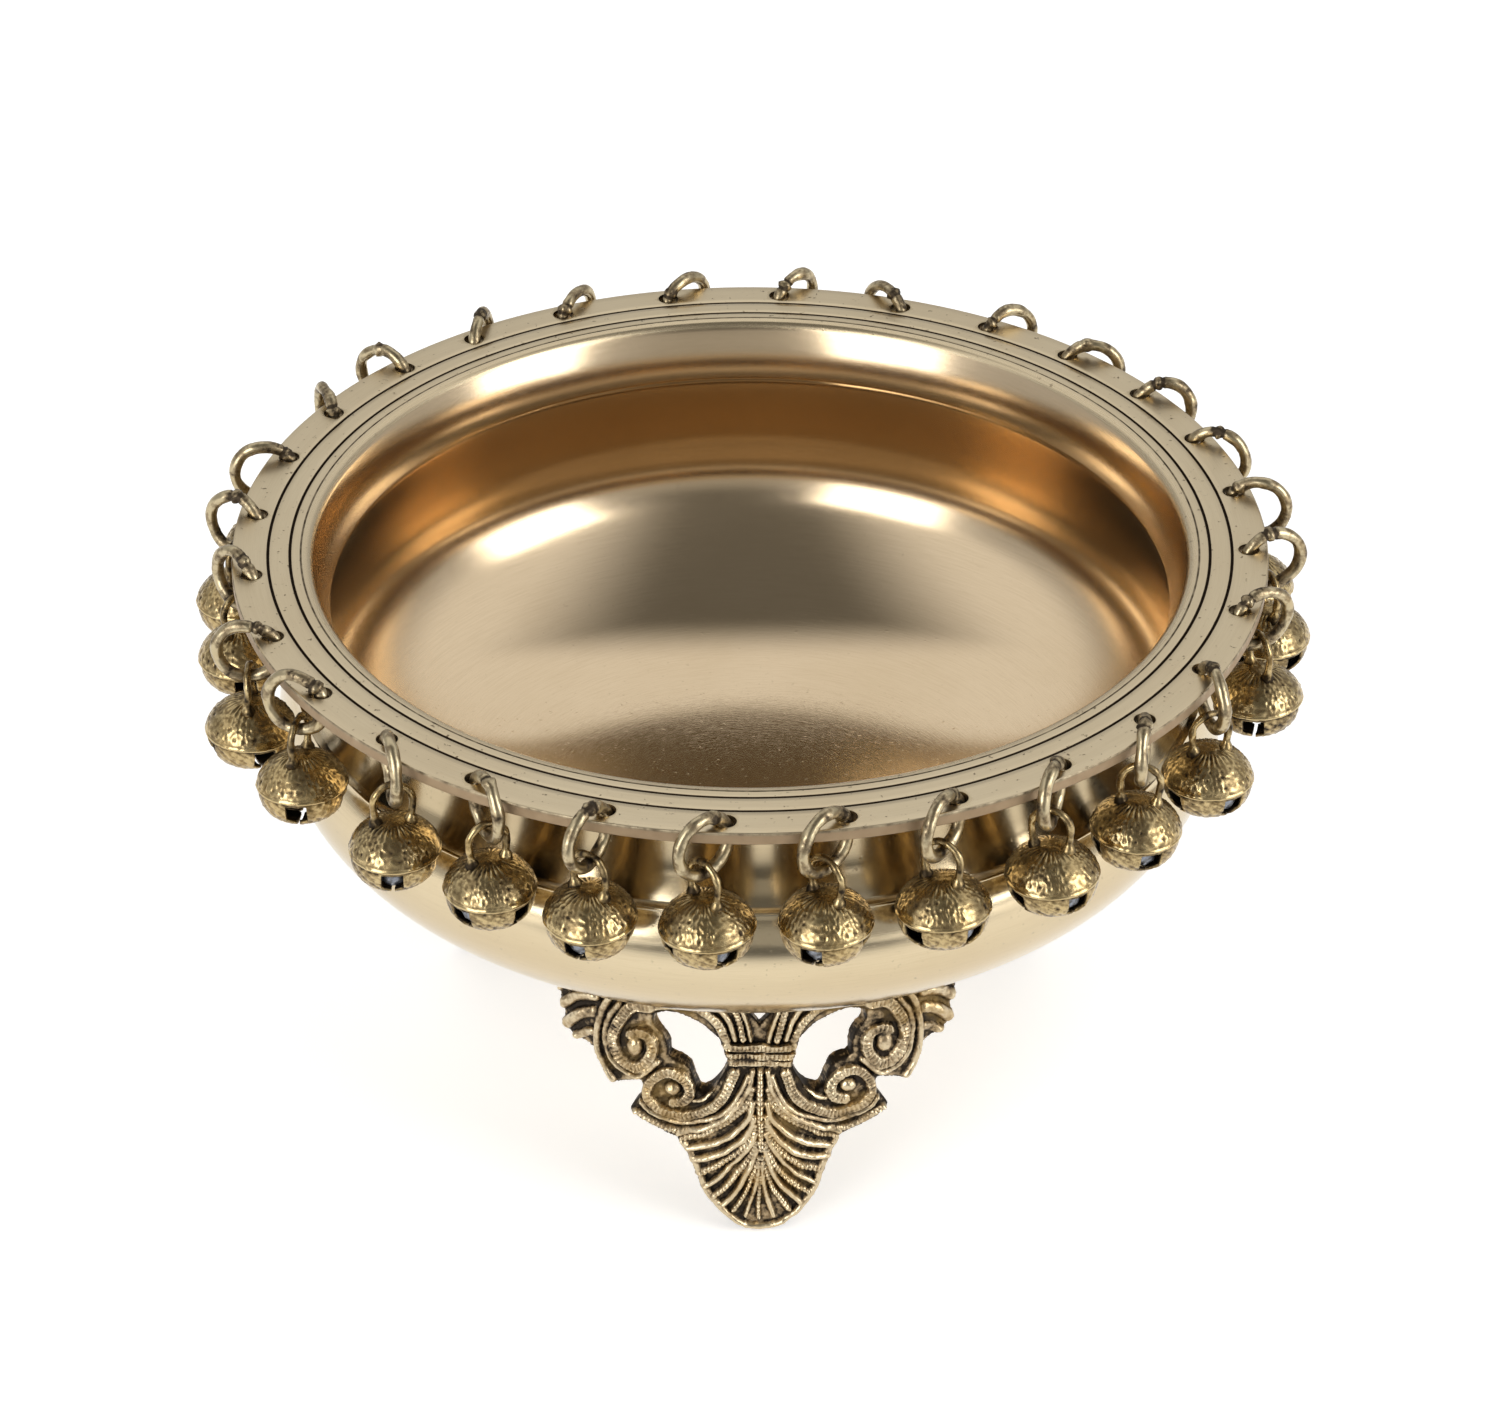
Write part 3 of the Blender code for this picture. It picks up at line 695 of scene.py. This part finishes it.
def bell_angles(profile, opens, turn):
    """The angle of each column of a bell's skin in each row, and which columns are windows."""
    petal_columns, window_columns, quarter = 34, 6, math.pi / 2
    radius, drop = profile.T
    window = WINDOW_HALF_WIDTH * (1 - smoothstep(SEAM_DROP + 4.6, SEAM_DROP + 5.4, drop))
    half = np.maximum(window, SLIT_HALF_WIDTH) / np.maximum(radius, 1.0)
    half[:opens] = WINDOW_HALF_WIDTH / BELL_RADIUS
    half = half[:, None]
    across = half * np.linspace(-1, 1, window_columns, endpoint=False)
    along = half + (quarter - 2 * half) * np.linspace(0, 1, petal_columns, endpoint=False)
    one = np.concatenate([across, along], 1)
    angle = np.concatenate([one + quarter * (k + 0.5) + turn for k in range(4)], 1)
    return angle, np.tile(np.arange(one.shape[1]) < window_columns, 4)


def bell_faces(rows, opens, slotted):
    """Faces of a bell's outer and inner skins, of the walls between them and of both caps."""
    columns = len(slotted)
    size = rows * columns
    number = np.arange(size).reshape(rows, columns)
    right = np.roll(number, -1, 1)

    def wall(first, second):
        first, second = first.ravel(), second.ravel()
        return np.stack([first, first + size, second + size, second], 1).tolist()

    solid = (np.arange(rows - 1)[:, None] < opens) | ~slotted
    skin = np.stack([number[:-1], number[1:], right[1:], right[:-1]], 2)[solid]
    after = ~slotted & np.roll(slotted, 1)
    before = slotted & ~np.roll(slotted, 1)
    upper, lower = number[opens:-1], number[opens + 1:]
    return (skin.tolist() + (skin[:, ::-1] + size).tolist()
            + wall(upper[:, after], lower[:, after]) + wall(lower[:, before], upper[:, before])
            + wall(number[opens][slotted], right[opens][slotted])
            + wall(number[-1][~slotted], right[-1][~slotted])
            + [number[0].tolist(), (number[0][::-1] + size).tolist()])


def make_bell_mesh(seed):
    """A stamped bell: fluted dome, seam ridge, four petals with windows, and a wire loop."""
    lower_rows = 30
    profile = np.concatenate([resample(DOME, 40)[1:], SEAM, resample(LOWER, lower_rows)])
    opens = len(profile) - lower_rows + 1     # the first row of the lower half that is slotted
    angle, slotted = bell_angles(profile, opens, BELL_KINDS[seed])
    radius, drop = (np.repeat(profile[:, k:k + 1], len(slotted), 1) for k in (0, 1))
    relief = bell_relief(angle.ravel(), radius.ravel(), drop.ravel(), seed).reshape(angle.shape)
    slope = np.gradient(profile, axis=0)
    normal = np.stack([slope[:, 1], slope[:, 0]], 1)
    normal /= np.linalg.norm(normal, axis=1)[:, None]
    outward, upward = normal[:, :1], normal[:, 1:]
    around = np.stack([np.cos(angle), np.sin(angle), drop / 9], 2).reshape(-1, 3)
    dent = 1 + 0.012 * ripple(around, 2.5, seed + 7).reshape(angle.shape)
    skins = []
    for raised, inward in ((relief, 0.0), (0 * relief, BELL_WALL)):
        reach = np.maximum((radius + outward * raised) * dent - outward * inward, 0.02)
        height = upward * (raised - inward) - drop
        skins.append(np.stack([reach * np.cos(angle), reach * np.sin(angle), height],
                              2).reshape(-1, 3))
    shell = np.concatenate(skins)
    high = relief / 0.16 + np.where((drop > SEAM_DROP - 0.5) & (drop < SEAM_DROP + 0.3), 0.8, 0.0)
    high -= 0.9 * np.exp(-((drop - SEAM_DROP - 0.5) / 0.25) ** 2)
    high -= 0.5 * np.exp(-((drop - SEAM_DROP + 0.55) / 0.15) ** 2)
    wire, wire_faces, blob = make_loop(seed + 20)
    faces = bell_faces(len(profile), opens, slotted)
    faces += [[v + len(shell) for v in face] for face in wire_faces]
    patina_and_shade = np.concatenate([0.55 + 0.34 * high.ravel(), np.full(high.size, 0.12),
                             0.55 + 0.12 * ripple(wire, 2.0, seed + 30) - 0.3 * blob])
    return build_mesh(f"jingle_bell_{seed}", np.concatenate([shell, wire]), faces,
                      {"patina_and_shade": patina_and_shade})


def make_pellet_mesh():
    """A rough little iron ball."""
    rows, columns = 18, 28
    polar = np.repeat(np.linspace(0.06, math.pi - 0.06, rows), columns)
    around = np.tile(circle(columns), rows)
    place = np.stack([np.sin(polar) * np.cos(around), np.sin(polar) * np.sin(around),
                      np.cos(polar)], 1) * PELLET_RADIUS
    place *= (1 + 0.022 * ripple(place, 1.6, 3) + 0.012 * ripple(place, 0.8, 4))[:, None]
    return build_mesh("pellet", place, stack_faces(rows, columns, flip=True))


def make_rings_and_bells(ring_material, bell_material, pellet_material):
    """Every ring and its bell, each with a pellet behind the window that looks outward."""
    variants = [(make_bell_mesh(seed), turn) for seed, turn in BELL_KINDS.items()]
    pellet_mesh = make_pellet_mesh()
    random = np.random.default_rng(7)
    quarter = math.pi / 2
    for number in range(1, BELL_COUNT + 1):
        label = f"{number:02d}"
        ring = make_ring(number, ring_material)
        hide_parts(f"ring_{label}")
        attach(ring, f"ring_{label}")
        place = hanging_matrix(number, f"bell_{label}_swing")
        lean_x, lean_y, _ = (math.radians(random.uniform(-BELL_LEAN, BELL_LEAN)) for _ in "xyz")
        place = place @ Matrix.Rotation(lean_x, 4, "X") @ Matrix.Rotation(lean_y, 4, "Y")
        mesh, turn = variants[(number + number // 4) % len(variants)]
        bell = link(f"jingle_bell_{label}", mesh, bell_material, place)
        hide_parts(f"bell_{label}")
        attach(bell, f"bell_{label}")
        outward = place.to_3x3().transposed() @ Vector((*place.translation.xy, 0))
        window = math.floor((math.atan2(outward.y, outward.x) - turn) / quarter) * quarter
        window += quarter / 2 + turn + random.uniform(-0.12, 0.12)
        out, down = PELLET_OFFSET
        spot = Vector((out * math.cos(window), out * math.sin(window), -SEAM_DROP - down)) * MM
        pellet = link(f"pellet_{label}", pellet_mesh, pellet_material,
                      place @ Matrix.Translation(spot))
        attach(pellet, f"bell_{label}")


# ---- legs

# Half of the leg's outline, mirrored about arc 0.  Its top follows the belly.
LEG_OUTLINE = [
    (0, 0), (1.2, 0), (2.8, 0.25), (4.7, 1.2), (7, 3.1), (9.3, 5.6), (11.7, 9.4), (12.9, 13.2),
    (14.5, 17.6), (15.6, 20.2), (16.4, 21.2), (18.6, 22), (21.3, 22.9), (23.8, 24), (25.9, 25.8),
    (25.6, 27.6), (24.2, 30), (23.6, 32.4), (24.2, 34), (27.2, 33), (29.5, 31.9), (31.1, 33.7),
    (31.8, 35.6), (32.5, 37.2), (34.6, 39.2), (38.7, 40.6), (40.8, 42.5), (40.4, 45.5), (41.6, 49),
    (43, 60), (4.6, 60), (2.8, 53.4), (1.4, 51.2), (0, 49.2),
]
LEG_TOP = 29                  # from this point on the outline isn't smoothed
LEG_OPENING = [
    (21.1, 50.2), (21.2, 48), (19.5, 45.6), (18.4, 43), (18.1, 40.5), (15.6, 39.4), (13.9, 38),
    (12.9, 35.2), (12, 33.1), (10, 33.9), (7.9, 36.4), (6.7, 39), (6.6, 41.8), (7.7, 44.7), (8.1, 46.2),
    (10.6, 48.9), (14.3, 50.6), (17.8, 51.2),
]
# Raised lines of the casting: kind, half width, height, then (arc, height) points.
SMOOTH, ROPE, BEADS = "smooth", "rope", "beads"
LEG_STROKES = [
    # upper scroll and its ridges
    (BEADS, 1.25, 1.3, [(21.6, 51.7), (25.2, 51.2), (27.4, 48.5), (28.8, 45.2), (29, 41.9), (28, 39.4),
        (26, 37.8), (23.6, 38.1), (21.8, 40.3), (21, 42.8), (21.8, 44.9), (23.6, 45.7), (25.4, 45.2)]),
    (SMOOTH, 0.75, 0.95, [(27.8, 51.2), (29.9, 48), (30.7, 44.5), (30.6, 41.5), (29.8, 39), (28.2, 36.8),
        (26, 35.6), (23.6, 36.1), (21.6, 37.9), (20.2, 39.6)]),
    (SMOOTH, 0.85, 1.05, [(30.2, 51.4), (31.4, 48.8), (32.3, 44.9), (32.7, 40.8), (31.9, 37.6),
        (31, 34.9), (29.5, 33)]),
    # leaf lobes outside the upper scroll
    (SMOOTH, 1.25, 1.1, [(33.2, 51), (36.6, 50), (40.2, 47.6)]),
    (SMOOTH, 1.2, 1.0, [(33.4, 47.3), (36.6, 46), (39.6, 43.2)]),
    (SMOOTH, 1.0, 0.9, [(33.6, 43.2), (35.4, 42.4), (37.6, 41)]),
    (SMOOTH, 0.55, 0.8, [(33, 53.8), (37, 53), (41.4, 50.4)]),
    # lower scroll, its ridge and the rope under it
    (BEADS, 1.2, 1.25, [(5.1, 38.6), (6.4, 34.5), (8.8, 31.2), (11.8, 28.6), (15.3, 27.3), (18.9, 27.8),
        (21.5, 29.5), (22.4, 31.8), (21.3, 34.9), (18.8, 37.2), (16.3, 37.2), (14.5, 35.6), (13.8, 33.2),
        (14.9, 31), (16.9, 30.2)]),
    (SMOOTH, 0.6, 0.95, [(2.4, 37.7), (4, 33.5), (6.7, 30), (10.3, 27.2), (14.5, 25.8), (18.5, 26),
        (21.9, 27.4), (23.6, 29.4)]),
    (SMOOTH, 0.45, 0.8, [(8, 37.2), (9.3, 34.6), (11.2, 32.2), (13, 31.2)]),
    (ROPE, 0.85, 1.0, [(2.9, 31.5), (6.2, 28.3), (10.3, 25.4), (14.5, 24), (19, 24), (22, 25),
        (24.6, 26.6)]),
    # arms that rise from the band
    (BEADS, 0.95, 1.2, [(6.7, 46.3), (8.1, 49.8), (10.8, 52.2), (13.5, 53.1), (17.6, 52.9),
        (21.6, 51.9)]),
    (SMOOTH, 0.65, 1.05, [(5.1, 46.6), (6.1, 50.3), (8.2, 53.2), (11, 55.2), (16, 55.4)]),
    (BEADS, 0.75, 1.1, [(3.4, 46.6), (4.1, 50.4), (5.4, 53.8), (8, 57)]),
    (SMOOTH, 0.55, 1.0, [(1.8, 46.4), (2.4, 49.4), (3.4, 52.6), (4.6, 56)]),
    # the band
    (BEADS, 0.85, 1.45, [(0, 41.6), (3.2, 41.5), (6.3, 41.4)]),
    (BEADS, 0.85, 1.6, [(0, 43.3), (3.2, 43.2), (6.5, 43.1)]),
    (BEADS, 0.85, 1.45, [(0, 45), (3.2, 44.9), (6.6, 44.9)]),
    # the shell
    (ROPE, 0.75, 1.35, [(0, 39.6), (0, 30), (0, 20.4)]),
    (SMOOTH, 0.75, 1.1, [(1.5, 39), (2.4, 34.3), (5.7, 29.6), (10, 25.8), (15.7, 23.1)]),
    (ROPE, 0.75, 1.05, [(1.4, 35), (2.5, 31.5), (5.3, 28.2), (9.9, 24.4), (15, 21.9)]),
    (SMOOTH, 0.75, 1.15, [(1.3, 32), (2.1, 29), (4.2, 25.7), (8, 22.2), (14.2, 19.7)]),
    (SMOOTH, 0.8, 1.2, [(1.2, 29), (1.8, 26.4), (4, 22.5), (7.8, 19.2), (13.4, 17.4)]),
    (ROPE, 0.85, 1.15, [(1.1, 26.8), (2, 23.7), (4, 20.3), (7.7, 16.9), (12.2, 14)]),
    (SMOOTH, 0.7, 1.2, [(1, 24.6), (2.2, 21.6), (4.3, 18), (7.2, 14.2), (11, 10.8)]),
    (ROPE, 0.75, 1.1, [(0.9, 22.4), (1.9, 19.2), (4, 15), (6.7, 11.4), (9.2, 8.5)]),
    (SMOOTH, 0.7, 1.2, [(0.7, 20.8), (1.6, 17.6), (3.2, 13.2), (5.4, 9.2), (7.4, 6.6)]),
    (ROPE, 0.65, 1.05, [(0.4, 18.3), (1.2, 15.2), (2.4, 11), (4, 7.4), (5.2, 5.3)]),
    (SMOOTH, 0.55, 1.15, [(0.2, 17.1), (0.7, 12.6), (1.5, 8.2), (2.6, 4.4)]),
    (ROPE, 0.5, 1.0, [(0, 15), (0, 9), (0, 3.6)]),
    # raised border of the toe
    (SMOOTH, 0.8, 0.95, [(0, 1.3), (2.6, 1.6), (4.6, 2.6), (6.6, 4.4), (8.7, 6.8), (10.8, 10.2),
        (11.9, 13.6), (13.5, 18.2), (15, 21.2)]),
]
# Buttons at the middle of the scrolls: arc, height, half sizes and rise.
LEG_EYES = [(24.7, 42.6, 1.7, 2.3, 1.5), (17.2, 33.6, 1.65, 1.65, 1.45)]


def smooth_line(points, step):
    """Points every step millimetres on a smooth line through the given ones."""
    return resample(points, max(4, int(profile_lengths(points)[-1] / step)))


def line_distance(grid, line):
    """Distance of each grid point to a line, how far along it, and on which side."""
    best = np.full(len(grid), 1e9)
    along = np.zeros(len(grid))
    side = np.zeros(len(grid))
    start = 0.0
    for a, b in zip(line[:-1], line[1:]):
        way = b - a
        length = math.hypot(*way)
        if length < 1e-9:
            continue
        share = np.clip((grid - a) @ way / length ** 2, 0, 1)
        away = grid - (a + share[:, None] * way)
        distance = np.hypot(away[:, 0], away[:, 1])
        closer = distance < best
        best = np.where(closer, distance, best)
        along = np.where(closer, start + share * length, along)
        cross = np.sign(way[0] * away[:, 1] - way[1] * away[:, 0])
        side = np.where(closer, cross * distance, side)
        start += length
    return best, along, side


def inside_polygon(grid, polygon):
    """Which grid points lie in a closed polygon, by counting crossings."""
    result = np.zeros(len(grid), bool)
    x, y = grid[:, 0], grid[:, 1]
    for (x0, y0), (x1, y1) in zip(polygon, np.roll(polygon, -1, 0)):
        if y0 == y1:
            continue
        crosses = (y0 > y) != (y1 > y)
        result ^= crosses & (x < (x1 - x0) * (y - y0) / (y1 - y0) + x0)
    return result


def belly_height(radius):
    """Height of the belly's underside above the floor."""
    centre = RIM_HEIGHT - BELLY_CENTRE_DEPTH
    return centre - BELLY_DROP * np.sqrt(1 - (radius / BELLY_RADIUS) ** 2)


def leg_distance(grid):
    """Signed distance to the leg's edge in the half plane, positive inside."""
    outline = np.concatenate([LEG_OUTLINE[:1], smooth_line(LEG_OUTLINE[1:LEG_TOP], 0.35),
                              LEG_OUTLINE[LEG_TOP:]])
    closed = np.concatenate([outline, [(-9.0, outline[-1][1]), (-9.0, outline[0][1])]])
    opening = resample(LEG_OPENING + LEG_OPENING[:1], 150)
    distance = line_distance(grid, outline)[0]
    distance = np.where(inside_polygon(grid, closed), distance, -distance)
    hole = line_distance(grid, opening)[0]
    hole = np.where(inside_polygon(grid, opening[:-1]), -hole, hole)
    top = belly_height(LEG_MIDDLE) + 0.15
    return np.minimum(np.minimum(distance, hole), np.minimum(top - grid[:, 1], grid[:, 1]))


def leg_relief(grid, edge):
    """Height of the casting's front over its ground, before the leg is bent."""
    relief = np.full(len(grid), -0.15)
    shell = smoothstep(16.5, 13.5, grid[:, 0]) * smoothstep(40.0, 30.0, grid[:, 1])
    relief += 0.75 * shell * np.cos(np.clip(grid[:, 0] / 16.0, 0, 1) * math.pi / 2)
    ground = relief.copy()
    uneven = 1 + 0.13 * flat_ripple(grid, 3.4, 97)
    for kind, half, rise, points in LEG_STROKES:
        line = smooth_line(points, 0.4)
        low, high = line.min(0) - half, line.max(0) + half
        near = np.all((grid > low) & (grid < high), axis=1)
        distance, along, side = line_distance(grid[near], line)
        share = np.clip(distance / half, 0, 1)
        form = np.sqrt(1 - share ** 2)
        if kind == ROPE:
            form *= 0.9 + 0.16 * np.cos(2 * math.pi * (along / 0.95) + side / half * 1.6)
        if kind == BEADS:
            rails = np.exp(-((share - 0.76) / 0.16) ** 2)
            hatch = (share < 0.6) * np.cos(2 * math.pi * along / 0.85)
            form = form * 0.74 + 0.24 * rails + 0.1 * hatch
        body = ground[near] + rise * uneven[near] * form
        relief[near] = np.where(distance < half, np.maximum(relief[near], body), relief[near])
    for arc, height, wide, tall, rise in LEG_EYES:
        share = np.hypot((grid[:, 0] - arc) / wide, (grid[:, 1] - height) / tall)
        dome = ground + rise * np.sqrt(np.clip(1 - share ** 2, 0, 1))
        relief = np.where(share < 1, np.maximum(relief, dome), relief)
    near_edge = np.clip(LEG_EASE - edge, 0, LEG_EASE)
    eased = LEG_EASE - np.sqrt(LEG_EASE ** 2 - near_edge ** 2)
    return LEG_RELIEF * relief - 0.9 * eased


def flat_ripple(points, size, seed):
    return ripple(np.column_stack([points, 0 * points[:, 0]]), size, seed)


def blurred(field, passes):
    for _ in range(passes):
        padded = np.pad(field, 1, mode="edge")
        field = (padded[:-2, 1:-1] + padded[2:, 1:-1] + padded[1:-1, :-2] + padded[1:-1, 2:]
                 + 2 * field) / 6
    return field


def leg_wall(front, vertices, values):
    """Join the two skins of a leg round their borders. Front holds its front skin's faces. The walls are
    painted dark, as painted shade on the openwork's sides.
    """
    steps, count = 4, len(vertices) // 2
    edges = dict.fromkeys(pair for face in front for pair in zip(face, face[1:] + face[:1]))
    borders = [pair for pair in edges if pair[::-1] not in edges]
    rows, extra, painted_wall_shade = {}, [], []
    for point in sorted({v for pair in borders for v in pair}):
        rows[point] = [point]
        for step in range(1, steps):
            share = step / steps
            rows[point].append(len(vertices) + len(extra))
            extra.append(vertices[point] * (1 - share) + vertices[point + count] * share)
            # Rows of the wall are painted dark, as painted shade on the openwork's sides.
            painted_wall_shade.append(0.26 + 0.1 * math.sin(point * 1.7 + step))
        rows[point].append(point + count)
    faces = [(rows[b][step], rows[a][step], rows[a][step + 1], rows[b][step + 1])
             for a, b in borders for step in range(steps)]
    return faces, np.concatenate([vertices, extra]), np.concatenate([values, painted_wall_shade])


def make_leg_mesh():
    """The openwork leg as a height field on an arc about the bowl's axis."""
    arcs = np.arange(-LEG_HALF_CELLS, LEG_HALF_CELLS + 1) * LEG_CELL
    heights = np.arange(-LEG_CELL, belly_height(LEG_BACK) + 2.0, LEG_CELL)
    grid = np.stack(np.meshgrid(arcs, heights, indexing="ij"), 2)
    shape = grid.shape[:2]
    flat = grid.reshape(-1, 2)
    free = LEG_DRIFT * smoothstep(0.5, 5.0, flat[:, 1]) * smoothstep(54.0, 48.0, flat[:, 1])
    half = np.column_stack([np.abs(flat[:, 0] + free * flat_ripple(flat, 11.0, 95)),
                            flat[:, 1] + free * flat_ripple(flat, 11.0, 96)])
    edge = leg_distance(half)
    relief = leg_relief(half, np.clip(edge, 0, None)).reshape(shape)
    edge = edge.reshape(shape)
    solid = edge > -LEG_CELL * 0.5
    cell = solid[:-1, :-1] & solid[1:, :-1] & solid[1:, 1:] & solid[:-1, 1:]
    used = np.zeros(shape, int)
    for di in (0, 1):
        for dj in (0, 1):
            used[di:di + cell.shape[0], dj:dj + cell.shape[1]] += cell
    keep = used > 0

    # Points on the border move onto the true edge.
    slope = np.stack(np.gradient(edge, LEG_CELL), 2)
    slope /= np.maximum(np.linalg.norm(slope, axis=2, keepdims=True), 0.3)
    border = (keep & (used < 4))[..., None]
    grid = np.where(border, grid - slope * np.clip(edge, -0.3, 0.3)[..., None], grid)
    flat = grid.reshape(-1, 2)
    worn = flat_ripple(flat, 2.4, 91).reshape(shape)
    pitted = flat_ripple(flat, 0.9, 92).reshape(shape)
    front = relief + 0.05 * worn + 0.045 * pitted
    back = 0.16 * flat_ripple(flat, 5.0, 93).reshape(shape) + 0.07 * pitted
    back -= 0.5 * (1 - smoothstep(0.0, 0.9, np.clip(edge, 0, None)))
    patina_and_shade = 0.42 + 0.66 * (relief - blurred(relief, 16)) + 0.13 * (relief - 0.45)
    patina_and_shade -= 0.1 * (1 - smoothstep(0.0, 0.5, edge))
    arc, height = grid[keep].T
    lift = smoothstep(40.0, 55.0, height)

    def bent(radius):
        angle = arc / LEG_FRONT - math.pi / 2
        top = height + lift * (belly_height(radius) - belly_height(LEG_MIDDLE))
        return np.stack([radius * np.cos(angle), radius * np.sin(angle), top], 1)

    vertices = np.concatenate([bent(LEG_FRONT + front[keep]), bent(LEG_BACK - back[keep])])
    values = np.concatenate([patina_and_shade[keep], 0.37 + 0.06 * worn[keep] + 0.05 * pitted[keep]])
    number = np.zeros(shape, int)
    number[keep] = np.arange(keep.sum())
    skin = np.stack([number[:-1, :-1], number[1:, :-1], number[1:, 1:], number[:-1, 1:]], 2)[cell]
    walls, vertices, values = leg_wall(skin.tolist(), vertices, values)
    faces = skin.tolist() + (skin[:, ::-1] + keep.sum()).tolist() + walls
    mesh = build_mesh("cast_leg", vertices, faces, {"patina_and_shade": values})
    mesh.set_sharp_from_angle(angle=math.radians(55))
    return mesh


def make_legs(material):
    mesh = make_leg_mesh()
    for name, azimuth in LEG_AZIMUTHS.items():
        turn = Matrix.Rotation(math.radians(azimuth + 90.0), 4, "Z")
        leg = link(f"cast_leg_{name}", mesh, material, turn)
        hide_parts(f"leg_{name}")
        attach(leg, "root")


# ---- studio


def make_floor():
    """Pale paper that glows, a painted light. What the brass mirrors of it is dimmer where the
    photographer stands, a painted shade.
    """
    material, tree, shader = new_material("paper_floor")
    shader.inputs["Roughness"].default_value = 0.9
    shader.inputs["Specular IOR Level"].default_value = 0.1
    shader.inputs["Emission Color"].default_value = (1, 1, 1, 1)
    place = add(tree, "SeparateXYZ", {0: object_space(tree)}).outputs
    sideways = compute(tree, "ABSOLUTE", place["X"])
    # Painted light and shade: the floor glows where lit, and is dark in front where the brass mirrors
    # it.
    lit = compute(tree, "MAXIMUM", remap(tree, sideways, 0.22, 0.45),
                  remap(tree, place["Y"], -0.52, -0.17))
    seen = add(tree, "LightPath").outputs["Is Camera Ray"]
    lit = compute(tree, "MAXIMUM", lit, seen)
    tree.links.new(remap(tree, lit, 0.0, 1.0, 0.0, FLOOR_GLOW), shader.inputs["Emission Strength"])
    tree.links.new(blend(tree, lit, (0.14, 0.14, 0.14, 1), (0.92, 0.92, 0.92, 1)),
                   shader.inputs["Base Color"])
    size = FLOOR_HALF_SIZE / MM
    corners = [(-size, -size, 0), (size, -size, 0), (size, size, 0), (-size, size, 0)]
    floor = link("floor", build_mesh("floor", corners, [(0, 1, 2, 3)]), material)


def make_world():
    """What the brass mirrors: pale walls, a dark ceiling and a dark side behind the camera.
    The camera itself sees an even, pale backdrop from every side.
    """
    world = bpy.data.worlds.new("studio")
    bpy.context.scene.world = world
    world.use_nodes = True
    tree = world.node_tree
    way = add(tree, "TexCoord").outputs["Generated"]
    axis = add(tree, "SeparateXYZ", {0: way}).outputs
    sideways = compute(tree, "ABSOLUTE", axis["X"])
    lit = compute(tree, "MAXIMUM", remap(tree, sideways, 0.22, 0.66),
                  remap(tree, axis["Y"], 0.1, 0.34))
    haze = remap(tree, axis["Z"], 0.42, 0.6, 0.55, 1.0)
    bright = add(tree, "CombineColor", {"Red": haze, "Green": haze, "Blue": haze})
    near = compute(tree, "MULTIPLY", remap(tree, axis["Z"], 0.5, 0.28),
                   remap(tree, axis["Y"], -0.25, -0.6))
    dark = blend(tree, near, (0.17, 0.165, 0.155, 1), (0.46, 0.45, 0.43, 1))
    colour = blend(tree, lit, dark, bright.outputs[0])
    seen = add(tree, "LightPath").outputs["Is Camera Ray"]
    colour = blend(tree, seen, colour, BACKDROP)
    tree.links.new(colour, tree.nodes["Background"].inputs["Color"])


def make_softbox(name, azimuth, elevation, width, height):
    """A soft light that looks at the bowl."""
    light = bpy.data.lights.new(name, "AREA")
    light.shape, light.size, light.size_y = "RECTANGLE", width, height
    light.energy = SOFTBOX_POWER
    a, e = math.radians(azimuth), math.radians(elevation)
    way = Vector((math.cos(a) * math.cos(e), math.sin(a) * math.cos(e), math.sin(e)))
    lamp = bpy.data.objects.new(name, light)
    lamp.location = Vector((0, 0, level(0))) + way * SOFTBOX_DISTANCE
    lamp.rotation_euler = way.to_track_quat("Z", "Y").to_euler()
    bpy.context.scene.collection.objects.link(lamp)


def make_camera():
    """The photograph's view: from just left of the front leg, 32 degrees down."""
    azimuth = math.radians(CAMERA_AZIMUTH)
    camera = bpy.data.objects.new("camera", bpy.data.cameras.new("camera"))
    camera.data.lens = CAMERA_LENS
    camera.data.sensor_width = 36.0
    camera.data.clip_end = 50.0
    camera.location = (CAMERA_DISTANCE * math.cos(azimuth), CAMERA_DISTANCE * math.sin(azimuth),
                       level(0) + CAMERA_RISE)
    look = Vector((0, 0, level(0) - CAMERA_AIM_DEPTH)) - camera.location
    camera.rotation_euler = look.to_track_quat("-Z", "Y").to_euler()
    bpy.context.scene.collection.objects.link(camera)
    bpy.context.scene.camera = camera


# ---- scene

make_camera()
make_floor()
make_world()
for name, numbers in SOFTBOXES.items():
    make_softbox(name, *numbers)
bpy.context.scene.view_settings.view_transform = "Standard"

bowl = make_bowl(bowl_material())
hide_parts("bowl")
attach(bowl, "root")
make_legs(patina_material("cast_patina"))
make_rings_and_bells(patina_material("wire_patina"), patina_material("stamped_patina"),
                     iron_material())
